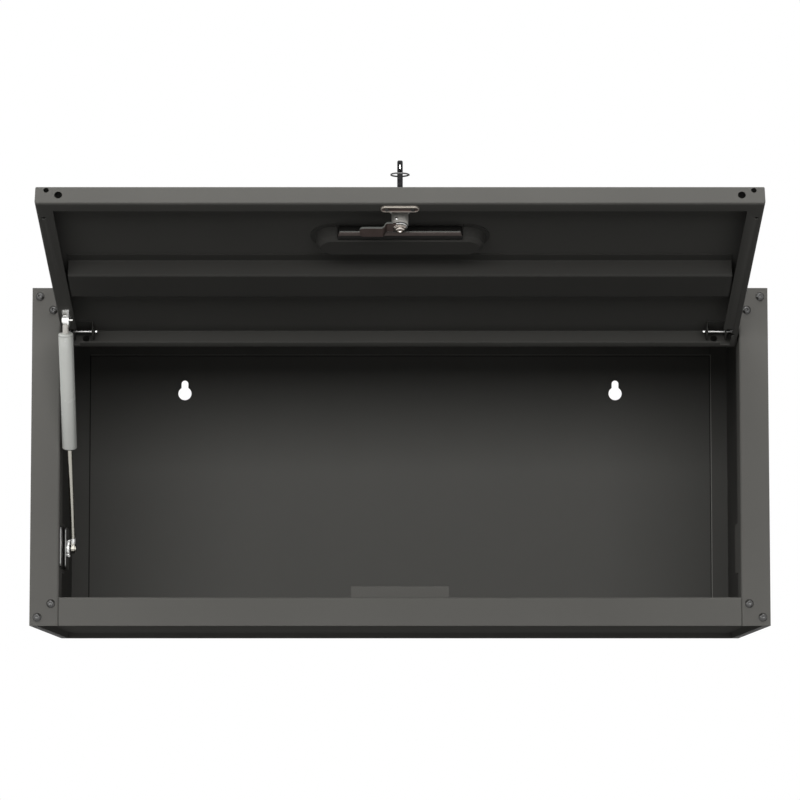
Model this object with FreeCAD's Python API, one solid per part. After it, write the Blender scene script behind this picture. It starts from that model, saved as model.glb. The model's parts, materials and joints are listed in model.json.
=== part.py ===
import FreeCAD, Part
import math
import os

Vector = FreeCAD.Vector
ALONG_X = Vector(1, 0, 0)
ALONG_Y = Vector(0, 1, 0)
ALONG_Z = Vector(0, 0, 1)

# Steel wall cabinet with one lift-up door, held open by a gas strut.
# Sizes are millimetres: X to the right, Y to the rear, Z up.
# The pieces are drawn with X = 0 at mid width, Y = 0 at the front face and Z = 0 at the bottom.
# They are saved with the origin midway between the two wall keyholes, on the rear face.

# Carcass
cabinet_width = 900.0
cabinet_height = 414.0
cabinet_depth = 355.0
frame_sheet = 1.5
shell_sheet = 1.2
fold_radius = 1.5

# Front frame
stile_width = 35.4
rail_height = 34.7
stile_flange_depth = 32.0
stile_tab_depth = 64.0
stile_tab_height = 61.0
stile_tab_radius = 6.0
top_rail_flange_depth = 24.0
frame_screw_inset_x = (9.4, 25.8)
frame_screw_inset_z = (10.5, 27.1)
frame_screw_radius = 3.0
frame_screw_head_radius = 5.25
frame_screw_head_height = 2.9
frame_screw_dome = 1.6
frame_screw_socket = 4.0
corner_plate_thickness = 4.0
corner_plate_inset = 3.0

# Side, top, bottom and back panels
side_front_flange = 30.0
side_rear_flange = 35.0
side_top_flange = 20.0
side_hem = 8.5
liner_inset = 13.0
liner_front = 70.0
top_front_flange = 19.0
top_rear_flange = 35.0
bottom_recess = 8.0
back_margin = 1.0

# Keyholes in the back panel
keyhole_spacing = 575.8
keyhole_height = 327.7
keyhole_radius = 8.8
keyhole_slot_width = 9.1
keyhole_slot_rise = 17.6

# Strike behind the bottom rail
strike_width = 120.0
strike_top = 50.0
strike_front = 27.0
strike_foot = 19.0
strike_hem_height = 12.0

# Door pan
door_gap = 2.2
door_thickness = 23.4
door_sheet = 1.2
door_bend = 3.0
lip_flange = 16.0
hinge_flange = 13.0
side_flange = 19.0
drain_hole_radius = 4.5
drain_hole_inset = 26.3
hinge_wall_hole_radius = 4.3
lip_screw_hole_radius = 3.1
lip_screw_hole_inset = 12.3
lip_screw_hole_depth = 5.5
flange_hole_radius = 2.5
flange_hole_inset = 6.8
flange_hole_end = 31.5
door_opening = 110.4

# Hinge
hinge_depth = 9.3
hinge_drop = 17.5
pin_radius = 2.25
pin_reach = 43.6
pin_head_radius = 3.6
pin_head_length = 2.0
pin_clearance = 0.05
bracket_sheet = 1.6
hinge_ear_inset = 39.4
hinge_ear_spacing = 23.0
hinge_ear_half_height = 12.0
hinge_ear_reach = 9.0
bush_radius = 4.0
bush_collar_radius = 5.5
bush_collar_length = 1.0
bush_length = 3.0

# Stiffener across the door
stiffener_start = 163.5
stiffener_height = 51.0
stiffener_gap = 2.4
stiffener_flange = 14.0

# Finger pull: distances from the free edge of the door
pull_centre = 107.5
pull_length = 198.0
pull_width = 43.0
pull_draft = 3.0
pull_depth = 17.2
pull_floor_edge = 4.0
pull_rim = 5.0
grip_radius = 8.2
grip_sheet = 1.0
grip_half_length = 72.5
grip_depth = 9.6

# Buffer plate on the lip of the door
buffer_length = 44.0
buffer_width = 12.0
buffer_clearance = 0.3
buffer_start = 3.0
buffer_screw_spacing = 29.0
buffer_screw_radius = 1.6
buffer_screw_head_radius = 2.6
buffer_screw_recess = 0.8

# Lock
lock_height = 46.0
lock_head_radius = 11.0
lock_head_length = 2.0
lock_barrel_radius = 9.5
lock_nut_across = 24.0
lock_nut_length = 4.0
plug_radius = 6.0
plug_clearance = 0.05
plug_stem = 8.0
keyway_width = 2.6
keyway_height = 8.6
keyway_depth = 21.0
stop_washer_radius = 11.0
stop_washer_thickness = 1.2
lock_play = 0.3
cam_thickness = 2.3
cam_width = 19.0
cam_hub_reach = 18.5
cam_joggle = 6.6
cam_joggle_run = 5.5
cam_reach = 46.0
cam_washer_radius = 8.5
cam_washer_thickness = 1.0
cam_bolt_head_radius = 5.5
cam_bolt_head_length = 3.2
cam_bolt_radius = 2.5
cam_bolt_depth = 4.0

# Key and ring
key_gap = 0.3
key_shank_length = 16.4
key_bow_length = 42.0
key_bow_width = 24.0
key_bow_thickness = 6.4
key_bow_edge = 1.2
key_slot_width = 2.7
key_slot_start = 19.9
key_slot_length = 13.0
key_hole_start = 22.4
key_hole_radius = 2.0
key_tang_depth = 10.0
key_tooth = 1.2
key_tooth_pitch = 3.0
key_tooth_count = 5
ring_outer_radius = 11.25
ring_wire = 1.2

# Gas strut: pivots are given with the door shut
strut_plane = 47.7
strut_upper_reach = 71.5
strut_upper_depth = 9.5
strut_lower_depth = 45.7
strut_lower_height = 97.2
strut_tube_radius = 9.0
strut_tube_wall = 1.2
strut_tube_length = 144.0
strut_shoulder_length = 1.8
strut_neck_length = 17.0
strut_neck_radius = 4.0
strut_eye_radius = 6.0
strut_eye_thickness = 4.0
strut_seal_length = 12.0
strut_seal_lip = 1.0
strut_piston_length = 8.0
strut_piston_gap = 0.08
strut_rod_radius = 3.0
strut_fitting_length = 28.5
strut_fitting_radius = 3.1
strut_pin_radius = 2.5
strut_pin_head_radius = 4.0
strut_pin_head = 1.6
strut_pin_stub_radius = 1.3
strut_pin_stub_length = 4.2
strut_running_gap = 0.3

# Strut bracket on the door
upper_bracket_sheet = 1.6
upper_leg_thickness = 2.4
upper_leg_height = 16.6
upper_bracket_above = 16.0
upper_bracket_below = 8.5
upper_leg_radius = 7.0
upper_base_width = 6.4
upper_rivet_radius = 1.6
upper_rivet_head = 2.6
upper_rivet_dome = 1.0

# Strut bracket on the stile
lower_plate_thickness = 1.8
lower_plate_front = 6.0
lower_plate_length = 56.0
lower_plate_height = 51.0
lower_plate_radius = 5.0
lower_boss_radius = 11.35
lower_boss_taper = 3.2
lower_boss_height = 6.9
lower_cover_gap = 2.2
lower_cover_thickness = 1.5
lower_cover_clearance = 2.6
lower_cover_inset = 2.0
stud_gap = 0.4
lower_screw_inset = 4.6
lower_screw_spacing = 14.0
lower_screw_radius = 2.1
lower_screw_head_radius = 3.6
lower_screw_length = 6.0

# Worked out from the sizes above
half_width = cabinet_width / 2
opening_half = half_width - stile_width
opening_bottom = rail_height
opening_top = cabinet_height - rail_height
back_face = cabinet_depth - shell_sheet
flange_face = back_face - shell_sheet
roof_underside = cabinet_height - shell_sheet
floor_top = bottom_recess + shell_sheet
outer_wall = half_width - shell_sheet
bottom_half = half_width - side_hem
door_half = opening_half - door_gap
door_bottom = opening_bottom + door_gap
door_top = opening_top - door_gap
door_inside = door_thickness - door_sheet
hinge_height = opening_top - hinge_drop
hinge_point = Vector(0, hinge_depth, hinge_height)
hinge_ear_inner = opening_half - hinge_ear_inset
frame_screw_length = frame_sheet + shell_sheet + corner_plate_thickness
lock_z = door_bottom + lock_height
washer_front = door_thickness + lock_play
cam_front = washer_front + stop_washer_thickness
cam_back = cam_front + cam_thickness
bolt_seat = cam_back + cam_washer_thickness
key_base = -lock_head_length - key_shank_length
pull_z = door_bottom + pull_centre
stiffener_half_length = door_half - side_flange - stiffener_gap
strut_x = -(half_width - strut_plane)
mount_origin = Vector(0, cabinet_depth, keyhole_height)


# Shape helpers

def box(x0, x1, y0, y1, z0, z1):
    return Part.makeBox(x1 - x0, y1 - y0, z1 - z0, Vector(x0, y0, z0))


def rod(start, end, radius):
    return Part.makeCylinder(radius, (end - start).Length, start, end - start)


def cone(start, end, start_radius, end_radius):
    return Part.makeCone(start_radius, end_radius, (end - start).Length, start, end - start)


def mirrored(shape):
    return shape.mirror(Vector(0, 0, 0), ALONG_X)


def both_sides(shape):
    return [shape, mirrored(shape)]


def rounded_face(points, radii):
    """A flat face with each corner rounded by its own radius."""
    arrivals = []
    departures = []
    middles = []
    for index, corner in enumerate(points):
        to_last = (points[index - 1] - corner).normalize()
        to_next = (points[(index + 1) % len(points)] - corner).normalize()
        half_angle = to_last.getAngle(to_next) / 2
        reach = radii[index] / math.tan(half_angle)
        arrivals.append(corner + to_last * reach)
        departures.append(corner + to_next * reach)
        inward = (to_last + to_next).normalize()
        middles.append(corner + inward * (radii[index] / math.sin(half_angle) - radii[index]))
    edges = []
    for index in range(len(points)):
        if radii[index] > 0:
            arc = Part.Arc(arrivals[index], middles[index], departures[index])
            edges.append(arc.toShape())
        target = arrivals[(index + 1) % len(points)]
        if (target - departures[index]).Length > 1e-6:
            edges.append(Part.makeLine(departures[index], target))
    return Part.Face(Part.Wire(edges))


def folded_strip(points, normal, sheet, radius):
    """Section of folded sheet: the points run along one face, with the sheet on their left."""
    sides = []
    for start, end in zip(points, points[1:]):
        sides.append(normal.cross((end - start).normalize()))
    far = [points[0] + sides[0] * sheet]
    near_radii = [0.0]
    far_radii = [0.0]
    for index in range(1, len(points) - 1):
        before = sides[index - 1]
        after = sides[index]
        far.append(points[index] + (before + after) * (sheet / (1 + before.dot(after))))
        turns_left = normal.dot(before.cross(after)) > 0
        near_radii.append(radius + sheet if turns_left else radius)
        far_radii.append(radius if turns_left else radius + sheet)
    far.append(points[-1] + sides[-1] * sheet)
    near_radii.append(0.0)
    far_radii.append(0.0)
    return rounded_face(points + far[::-1], near_radii + far_radii[::-1])


def plan(pairs, height=0.0):
    return [Vector(x, y, height) for x, y in pairs]


def side_view(pairs, x=0.0):
    return [Vector(x, y, z) for y, z in pairs]


def front_view(pairs, y=0.0):
    return [Vector(x, y, z) for x, z in pairs]


def rectangle(low, high):
    return [(low[0], low[1]), (high[0], low[1]), (high[0], high[1]), (low[0], high[1])]


def stadium_wire(y, centre_z, half_length, radius):
    """Outline with straight long sides and half-round ends, facing along Y."""
    inner = half_length - radius
    top = centre_z + radius
    low = centre_z - radius
    right_end = Part.Arc(Vector(inner, y, top), Vector(half_length, y, centre_z), Vector(inner, y, low))
    left_end = Part.Arc(Vector(-inner, y, low), Vector(-half_length, y, centre_z), Vector(-inner, y, top))
    lower = Part.makeLine(Vector(inner, y, low), Vector(-inner, y, low))
    upper = Part.makeLine(Vector(-inner, y, top), Vector(inner, y, top))
    return Part.Wire([right_end.toShape(), lower, left_end.toShape(), upper])


def opened(shape):
    """Turn a piece drawn on the shut door to where it is with the door raised."""
    turned = shape.copy()
    turned.rotate(hinge_point, ALONG_X, -door_opening)
    return turned


def save(name, *solids):
    piece = solids[0].copy() if len(solids) == 1 else Part.makeCompound(list(solids))
    piece.translate(-mount_origin)
    piece.exportStep("parts/" + name + ".step")


# Front frame

def frame_screw_places():
    """X and Z of the two screws in each corner of the frame."""
    places = []
    for side in (-1, 1):
        for inset_x, inset_z in zip(frame_screw_inset_x, frame_screw_inset_z):
            places.append((side * (half_width - inset_x), inset_z))
            places.append((side * (half_width - inset_x), cabinet_height - inset_z))
    return places


def frame_screw_holes():
    holes = []
    for x, z in frame_screw_places():
        holes.append(rod(Vector(x, 0, z), Vector(x, frame_screw_length, z), frame_screw_radius))
    return Part.makeCompound(holes)


def right_stile():
    section = folded_strip(
        plan([(opening_half, stile_flange_depth), (opening_half, 0), (half_width, 0)]),
        ALONG_Z, frame_sheet, fold_radius)
    stile = section.extrude(ALONG_Z * cabinet_height)
    tab_low = strut_lower_height - stile_tab_height / 2
    tab = rounded_face(
        side_view(rectangle((frame_sheet * 3, tab_low), (stile_tab_depth, tab_low + stile_tab_height)),
                  opening_half),
        [0, stile_tab_radius, stile_tab_radius, 0]).extrude(ALONG_X * frame_sheet)
    stile = stile.fuse(tab).removeSplitter()
    behind = opening_half + frame_sheet + fold_radius
    stile = stile.cut(box(0, behind, frame_sheet, stile_flange_depth + 1, roof_underside, cabinet_height))
    stile = stile.cut(box(0, behind, frame_sheet, stile_flange_depth + 1, 0, floor_top))
    bush_hole = rod(hinge_point, hinge_point + ALONG_X * half_width, bush_radius)
    return stile.cut(bush_hole).cut(frame_screw_holes())


def top_rail():
    section = folded_strip(
        side_view([(0, cabinet_height), (0, opening_top), (top_rail_flange_depth, opening_top)],
                  -opening_half),
        ALONG_X, frame_sheet, fold_radius)
    return section.extrude(ALONG_X * (2 * opening_half))


def bottom_rail():
    flange_edge = strike_front - fold_radius
    section = folded_strip(
        side_view([(flange_edge, opening_bottom), (0, opening_bottom), (0, 0)], -opening_half),
        ALONG_X, frame_sheet, fold_radius)
    return section.extrude(ALONG_X * (2 * opening_half))


def corner_plates():
    """Tapped plates behind the four corners of the frame."""
    front = frame_sheet + shell_sheet
    left_edge = opening_half + frame_sheet + fold_radius
    height = rail_height - 2 * corner_plate_inset
    plates = []
    for low in (corner_plate_inset, opening_top + corner_plate_inset):
        plate = box(left_edge, half_width - corner_plate_inset - shell_sheet,
                    front, front + corner_plate_thickness, low, low + height)
        plates += both_sides(plate.cut(frame_screw_holes()))
    return plates


def button_head_screw(x, z):
    """Socket button-head screw seated on the front of the frame."""
    face = Vector(x, 0, z)
    crown = Vector(x, -frame_screw_head_height, z)
    head = rod(face, crown, frame_screw_head_radius)
    head = head.makeChamfer(frame_screw_dome, [head.Edges[i] for i in rim_edges(head, crown)])
    socket = hexagon(crown, frame_screw_socket).extrude(ALONG_Y * (frame_screw_head_height / 2))
    shank = rod(face, Vector(x, frame_screw_length, z), frame_screw_radius)
    return head.cut(socket).fuse(shank)


def rim_edges(shape, centre):
    """Indices of the round edges centred on a point."""
    found = []
    for index, edge in enumerate(shape.Edges):
        if hasattr(edge.Curve, "Radius") and (edge.Curve.Center - centre).Length < 1e-6:
            found.append(index)
    return found


def hexagon(centre, across):
    """Six-sided face across the Y direction, by its width across flats."""
    corner_radius = across / math.sqrt(3)
    points = []
    for step in range(6):
        angle = math.radians(60 * step)
        points.append(centre + Vector(corner_radius * math.cos(angle), 0, corner_radius * math.sin(angle)))
    return Part.Face(Part.makePolygon(points + points[:1]))


# Panels

def right_side_panel():
    section = folded_strip(
        plan([(half_width - side_front_flange, frame_sheet), (half_width, frame_sheet),
              (half_width, back_face), (half_width - side_rear_flange, back_face)]),
        ALONG_Z, shell_sheet, fold_radius)
    panel = section.extrude(ALONG_Z * roof_underside)
    clear = frame_sheet + shell_sheet + fold_radius
    rear = flange_face - fold_radius
    hem = box(bottom_half, outer_wall, clear, rear, 0, shell_sheet)
    ledge = box(half_width - side_top_flange, outer_wall, clear, rear,
                roof_underside - shell_sheet, roof_underside)
    return panel.fuse([hem, ledge]).removeSplitter().cut(frame_screw_holes())


def right_side_liner():
    face = half_width - liner_inset
    section = folded_strip(
        plan([(face, flange_face), (face, liner_front), (outer_wall, liner_front)], floor_top),
        ALONG_Z, shell_sheet, fold_radius)
    return section.extrude(ALONG_Z * (roof_underside - shell_sheet - floor_top))


def top_panel():
    section = folded_strip(
        side_view([(back_face, cabinet_height - top_rear_flange), (back_face, cabinet_height),
                   (frame_sheet, cabinet_height), (frame_sheet, cabinet_height - top_front_flange)],
                  -opening_half),
        ALONG_X, shell_sheet, fold_radius)
    folded = section.extrude(ALONG_X * (2 * opening_half))
    bend = fold_radius + shell_sheet
    plate = box(-half_width, half_width, frame_sheet + bend, back_face - bend,
                roof_underside, cabinet_height)
    corner = box(opening_half, half_width, frame_sheet, back_face, roof_underside, cabinet_height)
    return folded.fuse([plate] + both_sides(corner)).removeSplitter()


def bottom_panel():
    section = folded_strip(
        side_view([(flange_face, 0), (flange_face, floor_top), (frame_sheet, floor_top), (frame_sheet, 0)],
                  -bottom_half),
        ALONG_X, shell_sheet, fold_radius)
    panel = section.extrude(ALONG_X * (2 * bottom_half))
    notch_depth = frame_screw_length
    skirt = box(bottom_half - shell_sheet, bottom_half, notch_depth, flange_face - shell_sheet, 0, floor_top)
    panel = panel.fuse(both_sides(skirt)).removeSplitter()
    notch = box(opening_half, bottom_half, 0, notch_depth, 0, floor_top)
    return panel.cut(Part.makeCompound(both_sides(notch)))


def back_panel():
    edge = half_width - back_margin
    panel = box(-edge, edge, back_face, cabinet_depth, back_margin, cabinet_height - back_margin)
    x = keyhole_spacing / 2
    slot_radius = keyhole_slot_width / 2
    slot_end = keyhole_height + keyhole_slot_rise - slot_radius
    hole = rod(Vector(x, back_face, keyhole_height), Vector(x, cabinet_depth, keyhole_height), keyhole_radius)
    slot = box(x - slot_radius, x + slot_radius, back_face, cabinet_depth, keyhole_height, slot_end)
    end = rod(Vector(x, back_face, slot_end), Vector(x, cabinet_depth, slot_end), slot_radius)
    keyhole = hole.fuse([slot, end])
    return panel.cut(keyhole).cut(mirrored(keyhole))


def strike_plate():
    """Hemmed tab that stands behind the bottom rail, with its foot under the rail's flange."""
    foot_top = opening_bottom - frame_sheet
    foot_low = foot_top - frame_sheet
    foot_front = strike_front - strike_foot
    folded = strike_front + frame_sheet
    rear = folded + frame_sheet
    hem_low = strike_top - strike_hem_height
    outline = [(foot_front, foot_low), (folded, foot_low), (folded, hem_low), (rear, hem_low),
               (rear, strike_top), (strike_front, strike_top), (strike_front, foot_top),
               (foot_front, foot_top)]
    top_radius = frame_sheet * 0.9
    radii = [0, fold_radius + frame_sheet, 0, 0, top_radius, top_radius, fold_radius, 0]
    section = rounded_face(side_view(outline, -strike_width / 2), radii)
    return section.extrude(ALONG_X * strike_width)


# Door

def door_pan():
    outer = box(-door_half, door_half, 0, door_thickness, door_bottom, door_top)
    outer = outer.makeFillet(door_bend, long_edges(outer))
    cavity = box(-door_half + door_sheet, door_half - door_sheet, door_sheet, door_inside,
                 door_bottom + door_sheet, door_top - door_sheet)
    cavity = cavity.makeFillet(door_bend - door_sheet, long_edges(cavity))
    window = box(-door_half + side_flange, door_half - side_flange, door_inside - 1, door_thickness + 1,
                 door_bottom + lip_flange, door_top - hinge_flange)
    pan = outer.cut(cavity).cut(window)
    return pan.cut(Part.makeCompound(door_holes()))


def long_edges(pan):
    """The edges round the front and the rear of a pan, without its four short corner edges."""
    return [edge for edge in pan.Edges if edge.Length > door_thickness]


def door_holes():
    """Holes in the skin, the lip, the side walls and the return flanges."""
    mid = door_thickness / 2
    hole_x = door_half - drain_hole_inset
    screw_x = door_half - lip_screw_hole_inset
    flange_x = door_half - flange_hole_inset
    through_lip = ALONG_Z * (2 * door_sheet)
    lip = Vector(hole_x, mid, door_bottom - door_sheet / 2)
    hinge_wall = Vector(hole_x, mid, door_top - door_sheet * 1.5)
    lip_screw = Vector(screw_x, lip_screw_hole_depth, door_bottom - door_sheet / 2)
    side_wall = Vector(door_half - 2 * door_sheet, hinge_depth, hinge_height)
    holes = both_sides(rod(lip, lip + through_lip, drain_hole_radius))
    holes += both_sides(rod(hinge_wall, hinge_wall + through_lip, hinge_wall_hole_radius))
    holes += both_sides(rod(lip_screw, lip_screw + through_lip, lip_screw_hole_radius))
    holes += both_sides(rod(side_wall, side_wall + ALONG_X * (3 * door_sheet), pin_radius))
    for z in (door_bottom + flange_hole_end, door_top - flange_hole_end):
        start = Vector(flange_x, door_inside - 1, z)
        holes += both_sides(rod(start, start + ALONG_Y * 3, flange_hole_radius))
    lock = Vector(0, -1, lock_z)
    holes.append(rod(lock, lock + ALONG_Y * 3, lock_barrel_radius))
    rim = stadium_wire(-1, pull_z, pull_length / 2 - door_sheet, pull_width / 2 - door_sheet)
    holes.append(Part.Face(rim).extrude(ALONG_Y * 3))
    return holes


def door_stiffener():
    low = door_bottom + stiffener_start
    high = low + stiffener_height
    seat = 2 * door_sheet
    section = folded_strip(
        side_view([(seat, low - stiffener_flange), (seat, low), (door_thickness, low),
                   (door_thickness, high), (seat, high), (seat, high + stiffener_flange)],
                  -stiffener_half_length),
        ALONG_X, door_sheet, fold_radius)
    return section.extrude(ALONG_X * (2 * stiffener_half_length))


def pull_form(inset):
    """Body of the finger pull, drawn in by a thickness all round."""
    start = door_sheet
    floor = pull_depth + door_sheet - inset
    half = pull_length / 2 - inset
    radius = pull_width / 2 - inset
    mouth = stadium_wire(start, pull_z, half, radius)
    base = stadium_wire(floor, pull_z, half - pull_draft, radius - pull_draft)
    body = Part.makeLoft([mouth, base], True, True)
    floor_edges = [edge for edge in body.Edges
                   if abs(edge.BoundBox.YMin - floor) < 1e-4 and abs(edge.BoundBox.YMax - floor) < 1e-4]
    return body.makeChamfer(pull_floor_edge - inset, floor_edges)


def grip_form(radius):
    """Round bar along X with its ends rounded in plan, the shape that the grip liner is pressed over."""
    centre = Vector(0, grip_depth, pull_z - pull_width / 2 + pull_draft / 2)
    half = grip_half_length - grip_radius + radius
    bar = rod(centre - ALONG_X * half, centre + ALONG_X * half, radius)
    ends = rounded_face(
        front_view(rectangle((-half, centre.z - radius), (half, centre.z + radius)), grip_depth - radius),
        [radius * 0.98] * 4)
    return bar.common(ends.extrude(ALONG_Y * (2 * radius)))


def pull_pocket():
    """Pressed cup behind the skin, open where the grip liner sits."""
    rim = stadium_wire(door_sheet, pull_z, pull_length / 2 + pull_rim, pull_width / 2 + pull_rim)
    plate = Part.Face(rim).extrude(ALONG_Y * door_sheet)
    low = pull_z - pull_width / 2 - pull_rim
    past = grip_half_length + 1
    plate = plate.cut(box(-past, past, door_sheet, 2 * door_sheet, low, low + pull_rim + pull_draft))
    cup = pull_form(0).fuse(plate).cut(pull_form(door_sheet))
    return cup.cut(grip_form(grip_radius - grip_sheet))


def grip_liner():
    """Half-round plated trough on the cup's wall, toward the free edge."""
    liner = grip_form(grip_radius).cut(grip_form(grip_radius - grip_sheet))
    return liner.cut(pull_form(0))


def right_hinge_bracket():
    """Two ears joined by a web that lies on the inside of the skin."""
    far = hinge_ear_inner + hinge_ear_spacing + bracket_sheet
    low = hinge_height - hinge_ear_half_height
    high = hinge_height + hinge_ear_half_height
    ear_tip = hinge_depth + hinge_ear_reach
    section = folded_strip(
        plan([(hinge_ear_inner, ear_tip), (hinge_ear_inner, door_sheet), (far, door_sheet), (far, ear_tip)],
             low),
        ALONG_Z, bracket_sheet, fold_radius)
    bracket = section.extrude(ALONG_Z * (high - low))
    outline = rounded_face(
        side_view(rectangle((door_sheet, low), (ear_tip, high)), hinge_ear_inner),
        [0, hinge_ear_reach, hinge_ear_reach, 0])
    bracket = bracket.common(outline.extrude(ALONG_X * (far - hinge_ear_inner)))
    return bracket.cut(rod(hinge_point, hinge_point + ALONG_X * half_width, pin_radius))


def right_hinge_pin():
    start = hinge_point + ALONG_X * (opening_half - pin_reach)
    end = hinge_point + ALONG_X * (opening_half + bush_length)
    head = rod(start, start + ALONG_X * pin_head_length, pin_head_radius)
    return rod(start, end, pin_radius).fuse(head)


def right_hinge_bush():
    face = hinge_point + ALONG_X * opening_half
    collar = rod(face - ALONG_X * bush_collar_length, face, bush_collar_radius)
    sleeve = rod(face, face + ALONG_X * bush_length, bush_radius)
    bore = rod(hinge_point, hinge_point + ALONG_X * half_width, pin_radius + pin_clearance)
    return collar.fuse(sleeve).cut(bore)


def buffer_screw_places():
    z = door_bottom + buffer_start + buffer_width / 2
    return [Vector(side * buffer_screw_spacing / 2, door_thickness, z) for side in (-1, 1)]


def buffer_plate():
    """Plated pad with rounded ends that meets the strike when the door is shut."""
    low = door_bottom + buffer_start
    half = buffer_length / 2
    height = strike_front - buffer_clearance - door_thickness
    outline = rounded_face(
        front_view(rectangle((-half, low), (half, low + buffer_width)), door_thickness),
        [buffer_width / 2 - 0.01] * 4)
    pad = outline.extrude(ALONG_Y * height)
    rim = [edge for edge in pad.Edges if edge.BoundBox.YMin > door_thickness + height - 1e-4]
    pad = pad.makeChamfer(height / 4, rim)
    for place in buffer_screw_places():
        face = place + ALONG_Y * height
        pad = pad.cut(rod(place, face, buffer_screw_radius))
        pad = pad.cut(rod(face - ALONG_Y * buffer_screw_recess, face, buffer_screw_head_radius))
    return pad


def buffer_screws():
    height = strike_front - buffer_clearance - door_thickness
    screws = []
    for place in buffer_screw_places():
        seat = place + ALONG_Y * (height - buffer_screw_recess)
        head = rod(seat, place + ALONG_Y * height, buffer_screw_head_radius)
        slot = box(place.x - buffer_screw_head_radius, place.x + buffer_screw_head_radius,
                   place.y + height - buffer_screw_recess / 2, place.y + height,
                   place.z - 0.3, place.z + 0.3)
        screws.append(head.cut(slot).fuse(rod(place, seat, buffer_screw_radius)))
    return screws


# Lock, drawn with the door shut: its axis runs along Y

def on_lock_axis(y):
    return Vector(0, y, lock_z)


def square_on_axis(side, y0, y1):
    half = side / 2
    return box(-half, half, y0, y1, lock_z - half, lock_z + half)


def lock_barrel():
    head = rod(on_lock_axis(0), on_lock_axis(-lock_head_length), lock_head_radius)
    front = on_lock_axis(-lock_head_length)
    head = head.makeChamfer(lock_head_length / 3, [head.Edges[i] for i in rim_edges(head, front)])
    body = rod(on_lock_axis(0), on_lock_axis(door_thickness), lock_barrel_radius)
    bore = rod(front, on_lock_axis(door_thickness), plug_radius + plug_clearance)
    return head.fuse(body).cut(bore)


def lock_nut():
    start = on_lock_axis(door_sheet)
    nut = hexagon(start, lock_nut_across).extrude(ALONG_Y * lock_nut_length)
    return nut.cut(rod(start, start + ALONG_Y * lock_nut_length, lock_barrel_radius))


def lock_plug():
    """Turning plug with its keyway and the square stem that carries the cam."""
    front = -lock_head_length
    plug = rod(on_lock_axis(front), on_lock_axis(door_thickness), plug_radius)
    stem = square_on_axis(plug_stem, door_thickness, bolt_seat).common(
        rod(on_lock_axis(0), on_lock_axis(bolt_seat), plug_radius - 0.5))
    keyway = box(-keyway_width / 2, keyway_width / 2, front, front + keyway_depth,
                 lock_z - keyway_height / 2, lock_z + keyway_height / 2)
    screw = rod(on_lock_axis(bolt_seat - cam_bolt_depth), on_lock_axis(bolt_seat), cam_bolt_radius)
    return plug.fuse(stem).cut(keyway).cut(screw)


def stem_hole(y0, y1):
    return square_on_axis(plug_stem, y0, y1).common(rod(on_lock_axis(y0), on_lock_axis(y1), plug_radius - 0.5))


def stop_washer():
    disc = rod(on_lock_axis(washer_front), on_lock_axis(cam_front), stop_washer_radius)
    flat = box(-stop_washer_radius, stop_washer_radius, washer_front, cam_front,
               lock_z + stop_washer_radius * 0.8, lock_z + stop_washer_radius)
    return disc.cut(flat).cut(stem_hole(washer_front, cam_front))


def lock_cam():
    """Stepped cam, pointing to the left when it is unlocked."""
    tip_front = cam_front + cam_joggle
    half = cam_width / 2
    section = folded_strip(
        plan([(-cam_reach, tip_front), (-cam_hub_reach - cam_joggle_run, tip_front),
              (-cam_hub_reach, cam_front), (half, cam_front)], lock_z - half),
        ALONG_Z, cam_thickness, fold_radius)
    strip = section.extrude(ALONG_Z * cam_width)
    outline = rounded_face(
        front_view(rectangle((-cam_reach, lock_z - half), (half, lock_z + half)), cam_front),
        [half - 0.01] * 4)
    cam = strip.common(outline.extrude(ALONG_Y * (cam_joggle + cam_thickness)))
    return cam.cut(stem_hole(cam_front, cam_back))


def cam_washer():
    disc = rod(on_lock_axis(cam_back), on_lock_axis(bolt_seat), cam_washer_radius)
    return disc.cut(stem_hole(cam_back, bolt_seat))


def cam_bolt():
    top = bolt_seat + cam_bolt_head_length
    head = hexagon(on_lock_axis(bolt_seat), cam_bolt_head_radius * math.sqrt(3)).extrude(
        ALONG_Y * cam_bolt_head_length)
    dome = cone(on_lock_axis(bolt_seat), on_lock_axis(top), cam_bolt_head_radius * 1.25,
                cam_bolt_head_radius * 0.85)
    shank = rod(on_lock_axis(bolt_seat - cam_bolt_depth), on_lock_axis(bolt_seat), cam_bolt_radius)
    return head.common(dome).fuse(shank)


# Key, with its blade in the keyway

def key_blade():
    half_thickness = keyway_width / 2 - key_gap
    half_height = keyway_height / 2 - key_gap
    tip = -lock_head_length + keyway_depth - key_gap * 3
    blade = box(-half_thickness, half_thickness, key_base - key_tang_depth, tip,
                lock_z - half_height, lock_z + half_height)
    edge = lock_z + half_height
    for tooth in range(key_tooth_count):
        bottom = tip - key_tooth_pitch * (tooth + 1)
        points = side_view([(bottom - key_tooth, edge), (bottom, edge - key_tooth),
                            (bottom + key_tooth, edge)], -half_thickness)
        notch = Part.Face(Part.makePolygon(points + points[:1]))
        blade = blade.cut(notch.extrude(ALONG_X * (2 * half_thickness)))
    return blade


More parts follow.
